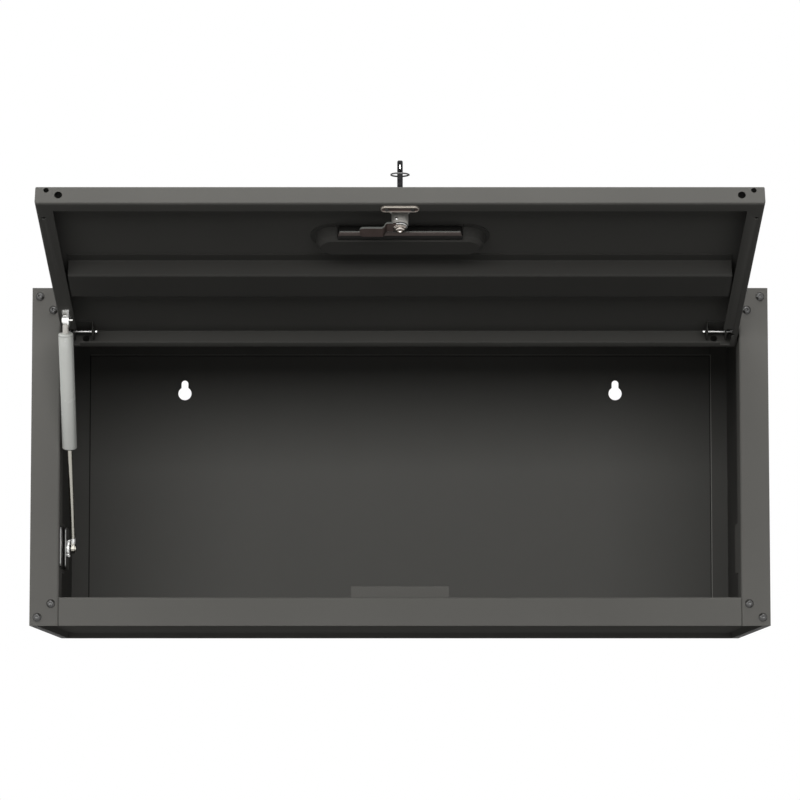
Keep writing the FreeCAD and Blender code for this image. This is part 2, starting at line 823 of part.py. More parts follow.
def key_bow():
    """Moulded head with a slot between two cheeks and a hole for the ring through both."""
    half_width_z = key_bow_width / 2
    half_thickness = key_bow_thickness / 2
    far = key_base - key_bow_length
    outline = rounded_face(
        side_view(rectangle((far, lock_z - half_width_z), (key_base, lock_z + half_width_z)),
                  -half_thickness),
        [half_width_z - 0.01, half_width_z / 3, half_width_z / 3, half_width_z - 0.01])
    bow = outline.extrude(ALONG_X * key_bow_thickness)
    cheek_edges = [edge for edge in bow.Edges
                   if abs(abs(edge.BoundBox.Center.x) - half_thickness) < 1e-4]
    bow = bow.makeChamfer(key_bow_edge, cheek_edges)
    slot_far = key_base - key_slot_start - key_slot_length
    slot = box(-key_slot_width / 2, key_slot_width / 2, slot_far, slot_far + key_slot_length,
               lock_z - half_width_z, lock_z + half_width_z)
    hole = rod(key_ring_point() - ALONG_X * half_thickness, key_ring_point() + ALONG_X * half_thickness,
               key_hole_radius)
    blade_seat = box(-(keyway_width / 2 - key_gap), keyway_width / 2 - key_gap,
                     key_base - key_tang_depth, key_base,
                     lock_z - keyway_height / 2 + key_gap, lock_z + keyway_height / 2 - key_gap)
    return bow.cut(slot).cut(hole).cut(blade_seat)


def key_ring_point():
    return Vector(0, key_base - key_hole_start, lock_z)


def key_ring():
    """Split ring lying level when the door is raised, drawn with the door shut."""
    middle = ring_outer_radius - ring_wire / 2
    corners = []
    for step in range(8):
        angle = math.radians(45 * step + 22.5)
        corners.append(Vector(middle + ring_wire / 2 * math.cos(angle), 0, ring_wire / 2 * math.sin(angle)))
    section = Part.Face(Part.makePolygon(corners + corners[:1]))
    ring = section.revolve(Vector(0, 0, 0), ALONG_Z, 360)
    ring.translate(Vector(0, -middle, 0))
    ring.rotate(Vector(0, 0, 0), ALONG_X, door_opening)
    ring.translate(key_ring_point())
    return ring


# Gas strut, drawn upright from its lower pivot and then leaned to its place

def strut_upper_pivot():
    return Vector(strut_x, door_thickness + strut_upper_depth, hinge_height - strut_upper_reach)


def strut_lower_pivot():
    return Vector(strut_x, strut_lower_depth, strut_lower_height)


def raised_pivot():
    """Where the upper pivot is with the door raised."""
    return opened(Part.Vertex(strut_upper_pivot())).Point


def strut_length():
    return (raised_pivot() - strut_lower_pivot()).Length


def leaned(shape):
    direction = raised_pivot() - strut_lower_pivot()
    lean = math.degrees(math.atan2(-direction.y, direction.z))
    placed = shape.copy()
    placed.rotate(Vector(0, 0, 0), ALONG_X, lean)
    placed.translate(strut_lower_pivot())
    return placed


def up(z):
    return Vector(0, 0, z)


def flat_eye(centre_z, neck_end_z, neck_radius):
    """Flat round eye with a neck running to another height on the axis."""
    half = strut_eye_thickness / 2
    eye = rod(Vector(-half, 0, centre_z), Vector(half, 0, centre_z), strut_eye_radius)
    direction = math.copysign(1, neck_end_z - centre_z)
    neck_start = centre_z + direction * (strut_eye_radius + neck_radius)
    neck = rod(up(neck_start), up(neck_end_z), neck_radius)
    blade = box(-half, half, -neck_radius, neck_radius,
                min(centre_z, neck_start), max(centre_z, neck_start))
    return eye.fuse([neck, blade])


def strut_upper_eye():
    top = strut_length()
    shoulder = top - strut_neck_length
    eye = flat_eye(top, shoulder + strut_shoulder_length, strut_neck_radius)
    taper = cone(up(shoulder), up(shoulder + strut_shoulder_length), strut_tube_radius, strut_neck_radius)
    hole = rod(Vector(-strut_tube_radius, 0, top), Vector(strut_tube_radius, 0, top),
               strut_pin_radius + pin_clearance)
    return eye.fuse(taper).cut(hole)


def strut_tube():
    top = strut_length() - strut_neck_length
    low = top - strut_tube_length
    outer = rod(up(low), up(top), strut_tube_radius)
    lip = rim_edges(outer, up(low))
    outer = outer.makeChamfer(strut_tube_wall, [outer.Edges[i] for i in lip])
    inner = rod(up(low + strut_tube_wall), up(top - strut_tube_wall), strut_tube_radius - strut_tube_wall)
    mouth = rod(up(low), up(low + strut_tube_wall), strut_tube_radius - 2 * strut_tube_wall)
    return outer.cut(inner).cut(mouth)


def strut_seal():
    low = strut_length() - strut_neck_length - strut_tube_length
    seat = low + strut_tube_wall
    body = rod(up(seat), up(seat + strut_seal_length), strut_tube_radius - strut_tube_wall)
    nose = rod(up(low - strut_seal_lip), up(seat), strut_tube_radius - 2 * strut_tube_wall)
    bore = rod(up(low - strut_seal_lip), up(seat + strut_seal_length), strut_rod_radius + pin_clearance)
    return body.fuse(nose).cut(bore)


def strut_piston_seat():
    """Height of the piston's lower face with the strut fully out."""
    low = strut_length() - strut_neck_length - strut_tube_length
    return low + strut_tube_wall + strut_seal_length + strut_running_gap


def strut_rod():
    return rod(up(strut_fitting_length), up(strut_piston_seat() + strut_piston_length), strut_rod_radius)


def strut_piston():
    low = up(strut_piston_seat())
    high = up(strut_piston_seat() + strut_piston_length)
    body = rod(low, high, strut_tube_radius - strut_tube_wall - strut_piston_gap)
    return body.cut(rod(low, high, strut_rod_radius))


def strut_lower_eye():
    eye = flat_eye(0, strut_fitting_length, strut_fitting_radius)
    hole = rod(Vector(-strut_tube_radius, 0, 0), Vector(strut_tube_radius, 0, 0), strut_pin_radius)
    return eye.cut(hole)


def boss_face():
    """X of the flat end of the boss on the lower bracket."""
    return -opening_half + lower_plate_thickness + lower_boss_height


def pivot_stud():
    """Riveted stud that turns against the boss of the lower bracket."""
    far = boss_face() + stud_gap - strut_x
    half = strut_eye_thickness / 2
    stud = rod(Vector(far, 0, 0), Vector(half + strut_pin_head, 0, 0), strut_pin_radius)
    head = rod(Vector(half, 0, 0), Vector(half + strut_pin_head, 0, 0), strut_pin_head_radius)
    return stud.fuse(head)


# Strut brackets

def upper_bracket_leg():
    """X of the two faces of the bracket's upright leg."""
    near = strut_x + strut_eye_thickness / 2 + strut_running_gap
    return near, near + upper_leg_thickness


def upper_rivet_place():
    pivot = strut_upper_pivot()
    near = upper_bracket_leg()[0]
    return Vector(near - upper_base_width / 2, door_thickness, pivot.z + upper_bracket_above / 2)


def upper_strut_bracket():
    """Angle bracket on the door's side flange: a base leg and an upright leg beside the eye."""
    pivot = strut_upper_pivot()
    near, far = upper_bracket_leg()
    low = pivot.z - upper_bracket_below
    high = pivot.z + upper_bracket_above
    seat = door_thickness
    base = rounded_face(
        front_view(rectangle((far - upper_leg_thickness - upper_base_width, low), (far, high)), seat),
        [upper_leg_radius / 2, 0, 0, upper_leg_radius / 2]).extrude(ALONG_Y * upper_bracket_sheet)
    leg = rounded_face(
        side_view([(seat, low), (seat + upper_leg_height, pivot.z - upper_leg_radius),
                   (seat + upper_leg_height, pivot.z + upper_leg_radius), (seat, high)], near),
        [0, upper_leg_radius, upper_leg_radius, 0]).extrude(ALONG_X * upper_leg_thickness)
    pin_hole = rod(Vector(near, pivot.y, pivot.z), Vector(far, pivot.y, pivot.z), strut_pin_radius)
    rivet = upper_rivet_place()
    rivet_hole = rod(rivet, rivet + ALONG_Y * upper_bracket_sheet, upper_rivet_radius)
    return base.fuse(leg).cut(pin_hole).cut(rivet_hole)


def upper_strut_pin():
    pivot = strut_upper_pivot()
    near, far = upper_bracket_leg()
    eye_far = strut_x - strut_eye_thickness / 2 - strut_running_gap
    start = Vector(eye_far - strut_pin_head, pivot.y, pivot.z)
    head_end = Vector(eye_far, pivot.y, pivot.z)
    far_end = Vector(far, pivot.y, pivot.z)
    head = rod(start, head_end, strut_pin_head_radius)
    stub = rod(far_end, far_end + ALONG_X * strut_pin_stub_length, strut_pin_stub_radius)
    return rod(start, far_end, strut_pin_radius).fuse([head, stub])


def upper_rivet():
    place = upper_rivet_place()
    top = place + ALONG_Y * (upper_bracket_sheet + upper_rivet_dome)
    head = cone(place + ALONG_Y * upper_bracket_sheet, top, upper_rivet_head, upper_rivet_radius)
    return rod(place, top, upper_rivet_radius).fuse(head)


def lower_screw_places():
    y = lower_plate_front + lower_screw_inset
    middle = strut_lower_height - lower_screw_spacing / 4
    return [Vector(-opening_half, y, middle + side * lower_screw_spacing / 2) for side in (-1, 1)]


def lower_strut_bracket():
    """Plate on the stile's tab, with a raised boss that carries a second plate."""
    pivot = strut_lower_pivot()
    low = pivot.z - lower_plate_height / 2
    plate = rounded_face(
        side_view(rectangle((lower_plate_front, low),
                            (lower_plate_front + lower_plate_length, low + lower_plate_height)),
                  -opening_half),
        [lower_plate_radius] * 4).extrude(ALONG_X * lower_plate_thickness)
    foot = Vector(-opening_half + lower_plate_thickness, pivot.y, pivot.z)
    boss = cone(foot, Vector(boss_face(), pivot.y, pivot.z), lower_boss_radius,
                lower_boss_radius - lower_boss_taper)
    cover_x = foot.x + lower_cover_gap
    cover_front = door_thickness + lower_cover_clearance
    cover_end = lower_plate_front + lower_plate_length - lower_cover_inset
    cover = rounded_face(
        side_view(rectangle((cover_front, low), (cover_end, low + lower_plate_height)), cover_x),
        [lower_plate_radius] * 4).extrude(ALONG_X * lower_cover_thickness)
    bracket = plate.fuse([boss, cover])
    for place in lower_screw_places():
        bracket = bracket.cut(countersunk_screw(place))
    return bracket


def countersunk_screw(place):
    face = place + ALONG_X * lower_plate_thickness
    head = cone(face, place, lower_screw_head_radius, lower_screw_radius)
    shank = rod(face - ALONG_X * lower_screw_length, face, lower_screw_radius)
    return head.fuse(shank)


def left_stile():
    screws = Part.makeCompound([countersunk_screw(place) for place in lower_screw_places()])
    return mirrored(right_stile()).cut(screws)


def save_cabinet():
    save("left_stile", left_stile())
    save("right_stile", right_stile())
    save("top_rail", top_rail())
    save("bottom_rail", bottom_rail())
    save("corner_plates", *corner_plates())
    save("frame_screws", *[button_head_screw(x, z) for x, z in frame_screw_places()])
    save("left_side_panel", mirrored(right_side_panel()))
    save("right_side_panel", right_side_panel())
    save("left_side_liner", mirrored(right_side_liner()))
    save("right_side_liner", right_side_liner())
    save("top_panel", top_panel())
    save("bottom_panel", bottom_panel())
    save("back_panel", back_panel())
    save("strike_plate", strike_plate())
    save("left_hinge_bush", mirrored(right_hinge_bush()))
    save("right_hinge_bush", right_hinge_bush())
    save("lower_strut_bracket", lower_strut_bracket())
    save("lower_bracket_screws", *[countersunk_screw(place) for place in lower_screw_places()])


def save_door():
    save("door_pan", opened(door_pan()))
    save("door_stiffener", opened(door_stiffener()))
    save("pull_pocket", opened(pull_pocket()))
    save("grip_liner", opened(grip_liner()))
    save("left_hinge_bracket", opened(mirrored(right_hinge_bracket())))
    save("right_hinge_bracket", opened(right_hinge_bracket()))
    save("left_hinge_pin", opened(mirrored(right_hinge_pin())))
    save("right_hinge_pin", opened(right_hinge_pin()))
    save("buffer_plate", opened(buffer_plate()))
    save("buffer_screws", *[opened(screw) for screw in buffer_screws()])
    save("lock_barrel", opened(lock_barrel()))
    save("lock_nut", opened(lock_nut()))
    save("upper_strut_bracket", opened(upper_strut_bracket()))
    save("upper_strut_pin", opened(upper_strut_pin()))
    save("upper_bracket_rivet", opened(upper_rivet()))


def save_lock_and_key():
    save("lock_plug", opened(lock_plug()))
    save("stop_washer", opened(stop_washer()))
    save("lock_cam", opened(lock_cam()))
    save("cam_washer", opened(cam_washer()))
    save("cam_bolt", opened(cam_bolt()))
    save("key_blade", opened(key_blade()))
    save("key_bow", opened(key_bow()))
    save("key_ring", opened(key_ring()))


def save_strut():
    save("strut_tube", leaned(strut_tube()))
    save("strut_seal", leaned(strut_seal()))
    save("strut_upper_eye", leaned(strut_upper_eye()))
    save("strut_rod", leaned(strut_rod()))
    save("strut_piston", leaned(strut_piston()))
    save("strut_lower_eye", leaned(strut_lower_eye()))
    save("strut_pivot_stud", leaned(pivot_stud()))


def main():
    os.makedirs("parts", exist_ok=True)
    save_cabinet()
    save_door()
    save_lock_and_key()
    save_strut()


main()
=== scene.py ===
import json
import math

import bmesh
import bpy
from bpy.props import FloatProperty, FloatVectorProperty, IntProperty, PointerProperty
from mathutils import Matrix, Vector


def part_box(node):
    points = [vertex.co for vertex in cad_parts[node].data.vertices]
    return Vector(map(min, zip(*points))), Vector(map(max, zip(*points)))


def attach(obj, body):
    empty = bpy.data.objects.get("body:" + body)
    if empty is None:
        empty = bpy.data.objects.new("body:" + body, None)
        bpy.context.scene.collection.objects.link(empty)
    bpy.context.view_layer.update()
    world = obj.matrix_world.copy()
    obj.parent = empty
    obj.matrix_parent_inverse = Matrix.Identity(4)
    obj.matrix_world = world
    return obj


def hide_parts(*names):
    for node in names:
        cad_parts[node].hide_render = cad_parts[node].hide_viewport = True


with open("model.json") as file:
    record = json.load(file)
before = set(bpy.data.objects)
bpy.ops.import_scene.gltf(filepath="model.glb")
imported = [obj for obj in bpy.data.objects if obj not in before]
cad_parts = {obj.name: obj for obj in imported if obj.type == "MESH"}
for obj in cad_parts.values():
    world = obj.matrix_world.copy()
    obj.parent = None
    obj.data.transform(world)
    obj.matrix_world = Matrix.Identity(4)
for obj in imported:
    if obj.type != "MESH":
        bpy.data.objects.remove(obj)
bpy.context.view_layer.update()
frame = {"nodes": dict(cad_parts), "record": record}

bl_info = {
    "name": "Tool Cabinet",
    "version": (1, 0, 0),
    "blender": (4, 5, 0),
    "location": "3D Viewport > Sidebar > Cabinet",
    "description": "Finishes and fittings of a steel wall cabinet with a lift-up door",
    "category": "Add Mesh",
}

MILLIMETRE = 0.001

# Drawn places are in millimetres, from the cabinet's middle, its front and its bottom
ORIGIN_DEPTH = 355
ORIGIN_HEIGHT = 327.7
DOOR_TURN = math.radians(110.4)
HINGE_DEPTH = 9.3
HINGE_HEIGHT = 361.8
LOCK_HEIGHT = 82.9
BUFFER_HEIGHT = 45.9
STADIUM_POINTS = 64
STRUT_PIVOT = (-402.3, 45.7, 97.2)
STRUT_LEAN = Vector((0, -0.385274, 0.922802))


# Nodes of the model by finish

FRAME_NODES = ("left_stile", "right_stile", "top_rail", "bottom_rail", "strike_plate")
LINER_NODES = ("left_side_liner", "right_side_liner")
SHELL_NODES = ("top_panel", "back_panel")
SIDE_NODES = ("left_side_panel", "right_side_panel")
DOOR_INNER_NODES = ("door_stiffener", "pull_pocket", "left_hinge_bracket", "right_hinge_bracket")
ZINC_NODES = (
    "corner_plates", "lower_bracket_screws", "upper_bracket_rivet", "lock_nut", "strut_piston",
    "upper_strut_pin",
)
LOCK_NODES = ("lock_barrel", "lock_plug")
BLACK_NODES = ("left_hinge_bush", "right_hinge_bush", "strut_seal")


# Sizes and colours that a user would change

def colour_property(name, description, colour):
    return FloatVectorProperty(
        name=name, description=description, subtype="COLOR", size=3, default=colour, min=0, max=1)


def length_property(name, description, millimetres, least=0.0):
    return FloatProperty(
        name=name, description=description, subtype="DISTANCE", default=millimetres * MILLIMETRE,
        min=least * MILLIMETRE)


class CabinetFinish(bpy.types.PropertyGroup):
    frame_colour: colour_property(
        "Frame paint", "Powder coat of the front frame", (0.118, 0.115, 0.107))
    shell_colour: colour_property("Shell paint", "Powder coat of the panels", (0.112, 0.110, 0.103))
    door_colour: colour_property("Door paint", "Powder coat of the door", (0.103, 0.101, 0.094))
    strut_colour: colour_property("Strut paint", "Paint of the gas strut's tube", (0.52, 0.53, 0.50))
    edge_round: length_property("Edge rounding", "Width of the rounding on cut sheet edges", 0.25)
    peel_size: length_property(
        "Paint texture size", "Size of the ripples in the powder coat", 1.6, least=0.1)
    peel_depth: length_property(
        "Paint texture depth", "Depth of the ripples in the powder coat", 0.012)


class CabinetFittings(bpy.types.PropertyGroup):
    screw_across: length_property(
        "Screw head", "Width of the frame screws' button heads", 10.5, least=1)
    screw_height: length_property("Screw head height", "Height of the button heads", 2.9, least=0.5)
    screw_socket: length_property(
        "Screw socket", "Width across the flats of the hexagon socket", 4.0, least=0.5)
    outer_inset_x: length_property(
        "Outer screw from side", "Outer screws, from the frame's side", 9.4)
    outer_inset_z: length_property(
        "Outer screw from end", "Outer screws, from the frame's top or bottom", 10.5)
    inner_inset_x: length_property(
        "Inner screw from side", "Inner screws, from the frame's side", 25.8)
    inner_inset_z: length_property(
        "Inner screw from end", "Inner screws, from the frame's top or bottom", 27.1)
    ring_turns: IntProperty(
        name="Key ring turns", description="Turns of wire in the split ring", default=2, min=1)
    ring_wire: length_property(
        "Key ring wire", "Thickness of the split ring's wire", 1.15, least=0.1)


class CabinetStage(bpy.types.PropertyGroup):
    camera_distance: length_property(
        "Camera distance", "From the camera to the front of the frame", 3688.4)
    camera_below: length_property(
        "Camera below", "From the cabinet's bottom down to the camera", 174.7)
    camera_tilt: FloatProperty(
        name="Camera tilt", description="Upward tilt of the camera",
        subtype="ANGLE", default=math.radians(4.7045))
    camera_lens: FloatProperty(
        name="Lens", description="Focal length on a 36 mm sensor", default=136.82)
    camera_shift: FloatProperty(
        name="Lens shift", description="Upward shift that eases the lean of the uprights", default=0.15)
    floor_drop: length_property("Floor below", "From the cabinet's bottom down to the floor", 900)


# Node trees

def wire(tree, *joins):
    """Link sockets: each join is a node, its output, the next node and its input."""
    for node, output, target, entry in joins:
        tree.links.new(node.outputs[output], target.inputs[entry])


def mapped_range(tree, from_low, from_high, to_low=0.0, to_high=1.0):
    node = tree.nodes.new("ShaderNodeMapRange")
    for label, value in (("From Min", from_low), ("From Max", from_high),
                         ("To Min", to_low), ("To Max", to_high)):
        node.inputs[label].default_value = value
    return node


def new_tree(kind, name, inputs, outputs):
    """A node tree with its sockets made: each input is a name, a type and a default or None."""
    tree = bpy.data.node_groups.new(name, kind)
    for label, socket_kind, default in inputs:
        socket = tree.interface.new_socket(
            label, in_out="INPUT", socket_type="NodeSocket" + socket_kind)
        if default is not None:
            socket.default_value = default
    for label, socket_kind in outputs:
        tree.interface.new_socket(label, in_out="OUTPUT", socket_type="NodeSocket" + socket_kind)
    return tree, tree.nodes.new("NodeGroupInput"), tree.nodes.new("NodeGroupOutput")


def shared_tree(name):
    """A node tree by its name, made on its first use."""
    makers = {
        "Surface variation": surface_variation_group,
        "Coat ripple": ripple_group,
        "Drawn lines": drawn_lines_group,
        "Fastener scatter": scatter_tree,
        "Wire coil": coil_tree,
    }
    return bpy.data.node_groups.get(name) or makers[name]()


# Shader node groups

def add_noise(group, source, place, detail, vector="Object"):
    noise = group.nodes.new("ShaderNodeTexNoise")
    noise.inputs["Detail"].default_value = detail
    wire(group, (source, "Scale", noise, "Scale"), (place, vector, noise, "Vector"))
    return noise


def add_range(group, noise, source, low, high):
    """Map a noise onto the range between two of the group's inputs."""
    mapped = mapped_range(group, 0.3, 0.7)
    wire(group, (noise, "Fac", mapped, "Value"), (source, low, mapped, "To Min"),
         (source, high, mapped, "To Max"))
    return mapped


def surface_variation_group():
    """Slow variation of a finish: its colour, a little lighter and darker, and its roughness."""
    group, source, sink = new_tree(
        "ShaderNodeTree", "Surface variation",
        [("Color", "Color", (0.1, 0.1, 0.1, 1)), ("Scale", "Float", 9.0), ("Dark", "Float", 0.94),
         ("Light", "Float", 1.05), ("Smooth", "Float", 0.36), ("Rough", "Float", 0.46)],
        [("Color", "Color"), ("Roughness", "Float")])
    place = group.nodes.new("ShaderNodeTexCoord")
    noise = add_noise(group, source, place, 5.0)
    shade = add_range(group, noise, source, "Dark", "Light")
    gloss = add_range(group, noise, source, "Smooth", "Rough")
    tint = group.nodes.new("ShaderNodeVectorMath")
    tint.operation = "SCALE"
    wire(group, (source, "Color", tint, 0), (shade, "Result", tint, "Scale"),
         (tint, "Vector", sink, "Color"), (gloss, "Result", sink, "Roughness"))
    return group


def relief_group(name, scale, depth, detail, stretch=None):
    """Fine noise put out as a normal; a stretch draws it out into lines."""
    group, source, sink = new_tree(
        "ShaderNodeTree", name, [("Scale", "Float", scale), ("Depth", "Float", depth)],
        [("Normal", "Vector")])
    place = group.nodes.new("ShaderNodeTexCoord")
    if stretch:
        mapping = group.nodes.new("ShaderNodeMapping")
        mapping.inputs["Scale"].default_value = stretch
        wire(group, (place, "Object", mapping, "Vector"))
        noise = add_noise(group, source, mapping, detail, "Vector")
    else:
        noise = add_noise(group, source, place, detail)
    bump = group.nodes.new("ShaderNodeBump")
    wire(group, (noise, "Fac", bump, "Height"), (source, "Depth", bump, "Distance"),
         (bump, "Normal", sink, "Normal"))
    return group


def ripple_group():
    return relief_group("Coat ripple", 600.0, 0.00001, 2.0)


def drawn_lines_group():
    """Fine lines along X, as left by turning or drawing metal."""
    return relief_group("Drawn lines", 1500.0, 0.000004, 3.0, (0.03, 1.0, 1.0))


def place_group(material, name, **values):
    node = material.node_tree.nodes.new("ShaderNodeGroup")
    node.node_tree = shared_tree(name)
    for label, value in values.items():
        node.inputs[label].default_value = value
    return node


# Materials

def varied_material(name, colour, smooth, rough, metallic=0.0, specular=0.5, scale=9.0,
                    contrast=0.05, surface="Coat ripple", **relief):
    """A finish with slow variation in colour and roughness and a fine surface texture."""
    material = bpy.data.materials.new(name)
    material.use_nodes = True
    shader = material.node_tree.nodes["Principled BSDF"]
    shader.inputs["Metallic"].default_value = metallic
    shader.inputs["Specular IOR Level"].default_value = specular
    tone = place_group(material, "Surface variation", Color=(*colour, 1), Scale=scale,
                       Dark=1 - contrast, Light=1 + contrast, Smooth=smooth, Rough=rough)
    texture = place_group(material, surface, **relief)
    wire(material.node_tree, (tone, "Color", shader, "Base Color"),
         (tone, "Roughness", shader, "Roughness"), (texture, "Normal", shader, "Normal"))
    return material


# Powder coats: the paint, its shine and how much lighter or darker it is than the paint. A copy lighter or
# darker than its paint stands for light or shade: painted light on the underside, a painted highlight on
# the seam edges, painted shade on the liners and door, and painted shadow in the seams
COATS = {
    "Frame powder coat": ("frame_colour", 0.05, 1.0),
    "Panel powder coat": ("shell_colour", 0.05, 1.0),
    "Side powder coat": ("shell_colour", 0.006, 1.0),
    "Liner powder coat": ("shell_colour", 0.02, 0.75),
    "Underside powder coat": ("shell_colour", 0.0, 1.6),
    "Seam shade": ("shell_colour", 0.0, 0.3),
    "Seam edge": ("shell_colour", 0.1, 2.4),
    "Door powder coat": ("door_colour", 0.02, 1.0),
    "Door pan powder coat": ("door_colour", 0.01, 0.76),
    "Door inner powder coat": ("door_colour", 0.01, 0.52),
}

# Metals: the colour, the roughness from and to, the contrast and how metallic it is
METALS = {
    "Zinc plate": ((0.66, 0.66, 0.63), 0.24, 0.38, 0.12, 1.0),
    "Grey zinc": ((0.12, 0.12, 0.116), 0.26, 0.40, 0.15, 1.0),
    "Warm nickel": ((0.205, 0.186, 0.163), 0.34, 0.46, 0.08, 0.8),
    "Satin cast": ((0.60, 0.58, 0.54), 0.28, 0.40, 0.08, 0.0),
    "Warm chrome": ((0.44, 0.40, 0.365), 0.10, 0.16, 0.08, 1.0),
    "Knurled zinc": ((0.90, 0.90, 0.88), 0.20, 0.34, 0.08, 0.6),
    "Bright steel": ((0.74, 0.74, 0.73), 0.12, 0.20, 0.04, 1.0),
    "Ground steel": ((0.31, 0.30, 0.265), 0.18, 0.28, 0.05, 1.0),
    "Ring wire": ((0.09, 0.09, 0.09), 0.20, 0.30, 0.1, 1.0),
    "Bronzed steel": ((0.085, 0.063, 0.057), 0.36, 0.50, 0.1, 1.0),
    "Cut edge": ((0.135, 0.14, 0.13), 0.34, 0.44, 0.08, 0.0),
    # The two grip metals below are a painted highlight and a painted reflection on the black grip bar
    "Grip shine": ((0.05, 0.05, 0.047), 0.24, 0.32, 0.08, 1.0),
    "Grip bronze": ((0.034, 0.028, 0.026), 0.34, 0.44, 0.08, 1.0),
}

# Other finishes: the colour, the roughness from and to, the shine, the size of its variation,
# the contrast and the scale and depth of its texture
PLAIN = {
    "Black plastic": ((0.006, 0.006, 0.007), 0.30, 0.42, 0.08, 80.0, 0.2, 1400.0, 0.000008),
    "Grip coat": ((0.016, 0.0155, 0.0145), 0.30, 0.40, 0.06, 60.0, 0.1, 300.0, 0.000003),
    "Strut paint": ("strut_colour", 0.22, 0.30, 0.55, 20.0, 0.02, 500.0, 0.000004),
    "Screw paint": ("frame_colour", 0.18, 0.24, 0.7, 200.0, 0.05, 700.0, 0.000004),
}
SCREW_SHADE = 0.25


def paint(name, shade=1.0):
    """One of the cabinet's paints, made lighter or darker."""
    return tuple(channel * shade for channel in getattr(bpy.context.scene.cabinet_finish, name))


def powder_coat(name):
    finish = bpy.context.scene.cabinet_finish
    colour, specular, shade = COATS[name]
    return varied_material(name, paint(colour, shade), 0.46, 0.54, specular=specular, contrast=0.03,
                           Scale=1 / finish.peel_size, Depth=finish.peel_depth)


def metal(name):
    colour, smooth, rough, contrast, metallic = METALS[name]
    return varied_material(name, colour, smooth, rough, metallic=metallic, scale=90.0,
                           contrast=contrast, surface="Drawn lines", Depth=0.000002)


def plain_finish(name):
    colour, smooth, rough, specular, scale, contrast, grain, depth = PLAIN[name]
    if isinstance(colour, str):
        colour = paint(colour, SCREW_SHADE if name == "Screw paint" else 1.0)
    return varied_material(name, colour, smooth, rough, specular=specular, scale=scale,
                           contrast=contrast, Scale=grain, Depth=depth)


def material_named(name):
    maker = powder_coat if name in COATS else metal if name in METALS else plain_finish
    return bpy.data.materials.get(name) or maker(name)


# Places and mesh helpers

def cabinet_point(x, y, z):
    """Place of a point that is drawn in millimetres on the cabinet."""
    return Vector((x, y - ORIGIN_DEPTH, z - ORIGIN_HEIGHT)) * MILLIMETRE


def door_point(x, y, z):
    """Place on the raised door of a point that is drawn in millimetres on the shut door."""
    dy = y - HINGE_DEPTH
    dz = z - HINGE_HEIGHT
    return cabinet_point(x, HINGE_DEPTH + dy * math.cos(DOOR_TURN) + dz * math.sin(DOOR_TURN),
                         HINGE_HEIGHT - dy * math.sin(DOOR_TURN) + dz * math.cos(DOOR_TURN))


def on_lock(along, across, upward):
    """Place by its distance behind the door's face along the lock, in millimetres."""
    return door_point(across, along, LOCK_HEIGHT + upward)


def on_strut(along, across, upward):
    """Place by its distance from the strut's lower pivot along the strut, in millimetres."""
    square = Vector((0, STRUT_LEAN.z, -STRUT_LEAN.y))
    offset = STRUT_LEAN * along + Vector((across, 0, 0)) + square * upward
    return cabinet_point(*STRUT_PIVOT) + offset * MILLIMETRE


def link_object(name, mesh):
    piece = bpy.data.objects.new(name, mesh)
    bpy.context.scene.collection.objects.link(piece)
    return piece


def settle(piece):
    """Turn an object with modifiers into a plain mesh."""
    depsgraph = bpy.context.evaluated_depsgraph_get()
    mesh = bpy.data.meshes.new_from_object(
        piece.evaluated_get(depsgraph), preserve_all_data_layers=True, depsgraph=depsgraph)
    piece.modifiers.clear()
    piece.data = mesh
    return piece


def body_of_node(node):
    for body, nodes in frame["record"]["behaviour"]["bodies"].items():
        if node in nodes:
            return body
    raise RuntimeError("no body holds " + node)


def stand_in(piece, node):
    """Let a finished piece stand for a node of the model."""
    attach(piece, body_of_node(node))
    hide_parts(node)


def ride_along(piece, node):
    """Let an added piece move with the body that holds a node."""
    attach(piece, body_of_node(node))


def rounded_copy(node, material, round_width, segments=2, sharp=math.radians(28)):
    """A merged copy of a node's solid with rounded edges and smooth curves."""
    source = frame["nodes"][node].data.copy()
    form = bmesh.new()
    form.from_mesh(source)
    bmesh.ops.remove_doubles(form, verts=form.verts, dist=2e-6)
    bmesh.ops.dissolve_limit(form, angle_limit=math.radians(0.6), verts=form.verts, edges=form.edges)
    for face in form.faces:
        face.smooth = True
        face.material_index = 0
    form.to_mesh(source)
    form.free()
    source.materials.clear()
    source.materials.append(material)
    piece = link_object(node + "_finished", source)
    bevel = piece.modifiers.new("Rounding", "BEVEL")
    bevel.width = round_width
    bevel.segments = segments
    bevel.limit_method = "ANGLE"
    bevel.angle_limit = sharp
    bevel.use_clamp_overlap = True
    weigh_normals(piece)
    return settle(piece)


def weigh_normals(piece):
    """Let the large faces decide how the light falls across their rounded edges."""
    weight = piece.modifiers.new("Even shading", "WEIGHTED_NORMAL")
    weight.mode = "FACE_AREA"
    weight.weight = 90
    weight.keep_sharp = True


def dress(nodes, material_name, round_width=None, segments=2):
    """Give nodes a finish; a cut sheet edge is rounded as the user chose."""
    width = round_width or bpy.context.scene.cabinet_finish.edge_round
    for node in nodes:
        stand_in(rounded_copy(node, material_named(material_name), width, segments), node)


def ringed_mesh(name, rings, material):
    """Closed surface through rings of points, all with the same count, closed at both ends."""
    form = bmesh.new()
    loops = [[form.verts.new(point) for point in ring] for ring in rings]
    count = len(loops[0])
    for near, far in zip(loops, loops[1:]):
        for index in range(count):
            after = (index + 1) % count
            form.faces.new((near[index], near[after], far[after], far[index]))
    form.faces.new(loops[0][::-1])
    form.faces.new(loops[-1])
    bmesh.ops.recalc_face_normals(form, faces=form.faces)
    for face in form.faces:
        face.smooth = True
    mesh = bpy.data.meshes.new(name)
    form.to_mesh(mesh)
    form.free()
    mesh.materials.append(material)
    return mesh


def sharpen(mesh, angle):
    """Mark the edges that turn more than an angle as sharp."""
    form = bmesh.new()
    form.from_mesh(mesh)
    for edge in form.edges:
        edge.smooth = len(edge.link_faces) == 2 and edge.calc_face_angle() < angle
    form.to_mesh(mesh)
    form.free()


